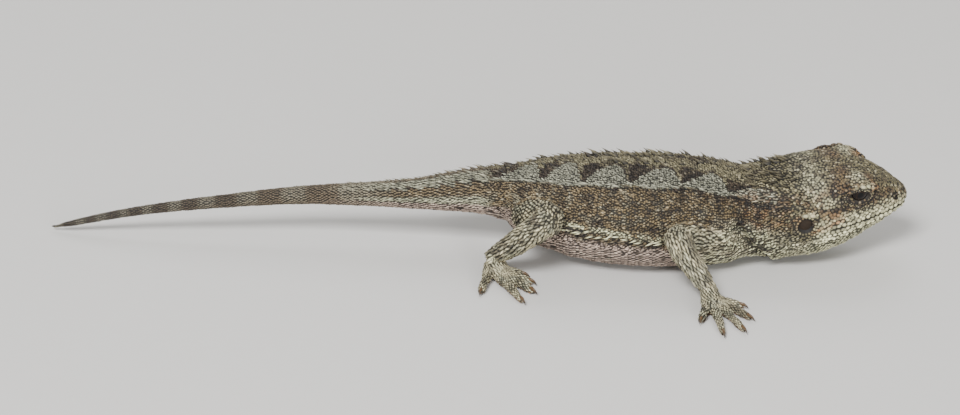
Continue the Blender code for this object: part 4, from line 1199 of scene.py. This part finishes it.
spine_row(30.0, 23.0, 11, 12, (1.4, 1.8, 1.7, 1.5, 1.1), 0.6, 5.0, 1.5)
spine_row(22.0, -27.0, 30, 0, (1.6, 2.0, 2.0, 1.6), 1.05, 3.0, 1.3)
spine_row(22.0, -27.0, 30, 0, (1.0, 1.3, 1.0), 0.8, 6.0, 1.3)
spine_row(21.0, -27.0, 28, 14, (1.3, 1.7, 1.6, 1.3), 0.9, 5.0, 1.3)
spine_row(23.0, -27.0, 34, 30, (1.1, 1.4, 1.1), 0.7, 9.0, 1.2)
spine_row(26.0, -28.0, 56, 50.5, (1.2, 1.4, 1.4, 1.3), 0.75, 1.2)
spine_row(24.0, -24.0, 26, 70, (1.0, 1.2, 1.0), 0.7, 9.0)
spine_row(10.0, -16.0, 14, 83, (1.0, 1.0), 0.65, 5.0)
fold_spines(18, 1.45, 0.8)
spine_row(30.0, 22.0, 12, 25, (1.4, 1.7, 1.3), 0.55, 7.0, 1.7)
spine_row(31.0, 22.0, 12, 48, (1.1, 1.5, 1.1), 0.8, 9.0)
spine_row(31.0, 23.0, 11, 72, (1.1, 1.4, 1.1), 0.75, 9.0)
spine_row(29.0, 22.5, 8, 95, (1.2, 1.5, 1.3), 0.8, 7.0)
for degrees, count, tallest in ((6, 26, 1.7), (22, 24, 1.5), (38, 24, 1.5), (50, 24, 1.7), (92, 30, 1.2)):
    spine_row(-27.0, -62.0, count, degrees, (tallest, tallest * 0.8, 0.7), 0.9, 2.0)


PATCH_SIZE = 0.0025  # a scale's share of the unwrapped hide


def make_coat(name):
    """One mesh of all the scales of a piece, with the markings and the place on the hide of each root."""
    parts = [group for group in coat if group[0] == name]
    all_points, all_faces, values, patches, start = [], [], {}, [], 0
    for _, form, spots, normals, lie, long, wide, high, ragged in parts:
        verts, faces, ridge = (np.array(part) for part in form)
        n, m = len(spots), len(verts)
        across = np.cross(normals, lie)
        wobble = 1 + RANDOM.uniform(-ragged, ragged, (n, m))
        placed = (spots[:, None] + lie[:, None] * (verts[None, :, 0] * wobble * long[:, None])[..., None]
                  + across[:, None] * (verts[None, :, 1] * wobble * wide[:, None])[..., None]
                  + normals[:, None] * (verts[None, :, 2] * wobble * high[:, None])[..., None])
        placed[..., 2] = np.maximum(placed[..., 2], 0.02 * MM)
        all_points.append(placed.reshape(-1, 3))
        all_faces.append((faces[None] + (np.arange(n) * m)[:, None, None] + start).reshape(-1, 3))
        start += n * m
        places = find_places(spots)
        places["outward"] = normals
        marks = markings(places)
        if name == "spines":
            marks["dark"] = np.maximum(marks["dark"], 0.5 * (places["down"] < 34) * (places["x"] > -30))
        if name == "spines_of_folds":
            marks.update(white=np.ones(n), dark=np.zeros(n), rust=np.zeros(n))
        tone = RANDOM.uniform(-0.1, 1.1, n) * 0.75 + (grain(spots, 1.1 * MM, 21.0) + 0.5) * 0.25
        tone = np.clip(tone, 0, 1)
        marks["tone"] = tone + (0.6 - tone) * 0.6 * (1 - ease(places["x"], -58, -44))
        if name == "spines_of_folds":
            marks["tone"] = 0.7 + 0.2 * tone
        for key, numbers in marks.items():
            values.setdefault(key, []).append(np.repeat(numbers, m))
        values.setdefault("ridge", []).append(np.tile(ridge, n))
        # Each root's place on the unwrapped hide: limbs and digits have strips of their own above the body's.
        strip = (places["turn"] / (2 * math.pi)) % 1.0
        on_body = places["region"] == 0
        lines = [body] + limb_lines + palm_lines + digit_lines
        share = np.array([s / lines[r].length for s, r in zip(places["s"], places["region"])])
        column, row = (places["region"] - 1) % 4, (places["region"] - 1) // 4
        u = np.where(on_body, 0.01 + 0.98 * share, (column + 0.04 + 0.92 * share) / 4)
        v = np.where(on_body, 0.01 + 0.48 * strip, 0.5 + (row + 0.05 + 0.9 * strip) / 14)
        patch = verts[None, :, :2] * PATCH_SIZE
        corner = np.stack([u[:, None] + patch[..., 0], v[:, None] + patch[..., 1]], axis=-1)
        patches.append(corner.reshape(-1, 2))
    piece_points, piece_faces = np.vstack(all_points), np.vstack(all_faces)
    mesh = bpy.data.meshes.new(name)
    mesh.vertices.add(len(piece_points))
    mesh.vertices.foreach_set("co", piece_points.astype(np.float32).ravel())
    mesh.loops.add(piece_faces.size)
    mesh.loops.foreach_set("vertex_index", piece_faces.astype(np.int32).ravel())
    mesh.polygons.add(len(piece_faces))
    mesh.polygons.foreach_set("loop_start", np.arange(0, piece_faces.size, 3, dtype=np.int32))
    mesh.update(calc_edges=True)
    bake = mesh.uv_layers.new(name="OFBake")
    bake.data.foreach_set("uv", np.vstack(patches)[piece_faces.ravel()].astype(np.float32).ravel())
    store(mesh, {key: np.concatenate(numbers) for key, numbers in values.items()})
    made = bpy.data.objects.new(name, mesh)
    bpy.context.scene.collection.objects.link(made)
    return made


PALE_HORN = (0.40, 0.37, 0.27)
horn = Finish("scales")
tone, ridge = horn.value("tone"), horn.value("ridge")
fleck = horn.noise(0.14 * MM, 2)
colour = horn.mix(horn.step(tone, 0.75, 1.0) * 0.18, hide_colour(horn), PALE_HORN)
# Each scale's colour is painted lighter towards its keel or top, with a painted highlight along the keel, and
# nearly black at its rim and base, a painted shade. On the limbs that painted shade is less deep.
raised = 0.03 + horn.value("limb") * 0.10 + horn.step(ridge, 0.22, 0.88) * 1.1 \
    + horn.step(ridge, 0.75, 1.0) * 0.8
colour = horn.shade(colour, (0.45 + tone * 0.95) * raised * (0.7 + fleck * 0.6))
horn.set(Base_Color=colour, Roughness=0.5 + fleck * 0.25,
         Normal=horn.node("ShaderNodeBump", {}, {"Height": fleck, "Strength": 0.25, "Distance": 0.03 * MM}))
for name, slot in (("scales_of_back", "back_skin"), ("scales_of_flanks", "back_skin"),
                   ("scales_of_belly", "back_skin"), ("scales_of_tail", "tail_skin"),
                   ("scales_of_neck", "back_skin"), ("scales_of_arms", "limb_skin"),
                   ("scales_of_legs", "limb_skin"),
                   ("scales_of_hands_and_feet", "limb_skin"), ("scales_of_head", "head_skin"),
                   ("scales_between", "back_skin"), ("spines", "back_skin"),
                   ("spines_of_folds", "back_skin")):
    piece = make_coat(name)
    piece.data.materials.append(horn.material)
    if name == "scales_of_head":
        piece.data.shade_smooth()
    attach(piece, "root")

# Eyes
# A wet dark globe in each socket: a round black pupil in a faint coppery ring, and a nearly black iris.
GAZE = (-0.05, 0.98, 0.08)  # back, out and up
globe = Finish("eye")
off_axis = globe.value("off_axis")
streak = globe.noise(0.12 * MM, 4)
iris = globe.mix(streak, (0.004, 0.003, 0.002), (0.010, 0.006, 0.004))
iris = globe.mix(globe.step(off_axis, 0.62, 0.9), iris, (0.008, 0.006, 0.005))
ring = globe.step(off_axis, 0.30, 0.33) * globe.step(0.40 - off_axis, 0.0, 0.04)
iris = globe.mix(ring * 0.1, iris, (0.12, 0.055, 0.018))
iris = globe.mix(globe.step(0.32 - off_axis, 0.0, 0.02), iris, (0.002, 0.002, 0.002))
globe.set(Base_Color=iris, Roughness=0.03, Specular_IOR_Level=0.22)
for side, name in ((-1, "right_eye"), (1, "left_eye")):
    middle = head_point(EYE_PLACE[0], side * EYE_PLACE[1], EYE_PLACE[2])
    axis = unit(-HEAD_AHEAD * GAZE[0] + HEAD_LEFT * side * GAZE[1] + HEAD_UP * GAZE[2])
    shape = bmesh.new()
    bmesh.ops.create_uvsphere(shape, u_segments=64, v_segments=40, radius=EYE_RADIUS * 0.985 * MM)
    turn = Vector((0, 0, 1)).rotation_difference(Vector(axis)).to_matrix()
    for vert in shape.verts:
        vert.co = turn @ vert.co + Vector(middle)
    mesh = bpy.data.meshes.new(name + "_globe")
    shape.to_mesh(mesh)
    shape.free()
    mesh.shade_smooth()
    from_middle = unit(read_points(mesh) - middle)
    store(mesh, {"off_axis": np.arccos(np.clip(from_middle @ axis, -1, 1))})
    mesh.materials.append(globe.material)
    eye = bpy.data.objects.new(name + "_globe", mesh)
    bpy.context.scene.collection.objects.link(eye)
    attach(eye, "root")
    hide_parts(name)

# Ear drums
# A smooth thin dark brown skin stretched over each round pit behind the corner of the mouth.
DRUM_DARK, DRUM_BROWN = (0.010, 0.006, 0.004), (0.030, 0.019, 0.011)
RINGS, SPOKES = 8, 36
drum = Finish("ear_drum")
veins = drum.noise(0.5 * MM, 3)
drum.set(Base_Color=drum.mix(veins, DRUM_DARK, DRUM_BROWN), Roughness=0.6 + veins * 0.15,
         Specular_IOR_Level=0.25)
for side, name in ((-1, "right_ear_drum"), (1, "left_ear_drum")):
    wanted = head_point(EAR_PLACE[0], side * EAR_PLACE[1], EAR_PLACE[2])
    spots, normals, _ = settle([wanted], 3 * MM)
    out = unit(normals[0] + 2.0 * (HEAD_LEFT * side))
    lie = unit(np.cross(out, HEAD_UP))
    rise = np.cross(lie, out)
    drum_points, drum_faces = [], []
    for k, depth in enumerate(np.linspace(0, 1, RINGS)):
        for t in np.arange(SPOKES) * 2 * math.pi / SPOKES:
            radius = EAR_RADIUS * 1.02 * MM * max(depth, 0.001)
            bulge = (0.12 - 0.22 * depth ** 2) * MM
            drum_points.append(spots[0] + (lie * math.cos(t) + rise * math.sin(t)) * radius + out * bulge)
    for k in range(RINGS - 1):
        for j in range(SPOKES):
            i = (j + 1) % SPOKES
            drum_faces.append((k * SPOKES + j, (k + 1) * SPOKES + j, (k + 1) * SPOKES + i, k * SPOKES + i))
    piece = mesh_piece(name, drum_points, drum_faces)
    piece.data.materials.append(drum.material)
    piece.data.shade_smooth()
    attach(piece, "root")

# Claws
# A hooked sheath of brown horn on each of the twenty digits, dark at the tip.
CLAW_LENGTH = 2.0 * MM
CLAW_BENDS = ((0.0, 0.80), (0.35, 0.98), (0.7, 0.74), (1.0, 0.10))  # how far along it, and how high up
CLAW_WIDE, CLAW_HIGH = np.array((0.62, 0.52, 0.32, 0.05)), np.array((0.56, 0.48, 0.30, 0.05))
CLAW_RINGS, CLAW_SIDES = 14, 12
claws, claw_share = [], []
for root, pointing, reach, radius in claw_places:
    facing = np.array((math.cos(pointing), math.sin(pointing), 0.0))
    base = root + facing * (reach - radius)
    bends = [base + facing * CLAW_LENGTH * far + (0, 0, high * radius + 0.1 * MM) for far, high in CLAW_BENDS]
    claw = Sweep(bends, radius * 0.62 * CLAW_WIDE, radius * CLAW_HIGH)
    claws.append(claw.mesh("claw", 0.0, claw.length, CLAW_RINGS, CLAW_SIDES))
    claw_share.append(np.repeat(np.linspace(0, 1, CLAW_RINGS), CLAW_SIDES))
claws = join_pieces(claws)
claws.name = "claws"
nail = Finish("claw")
share = nail.value("share")
grow = nail.noise(0.25 * MM, 3)
brown = nail.mix(grow, (0.065, 0.036, 0.016), (0.13, 0.078, 0.036))
brown = nail.mix(nail.step(share, 0.35, 0.95), brown, (0.03, 0.018, 0.010))
nail.set(Base_Color=brown, Roughness=0.28 + grow * 0.12)
store(claws.data, {"share": np.concatenate(claw_share)})
claws.data.materials.append(nail.material)
claws.data.shade_smooth()
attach(claws, "root")
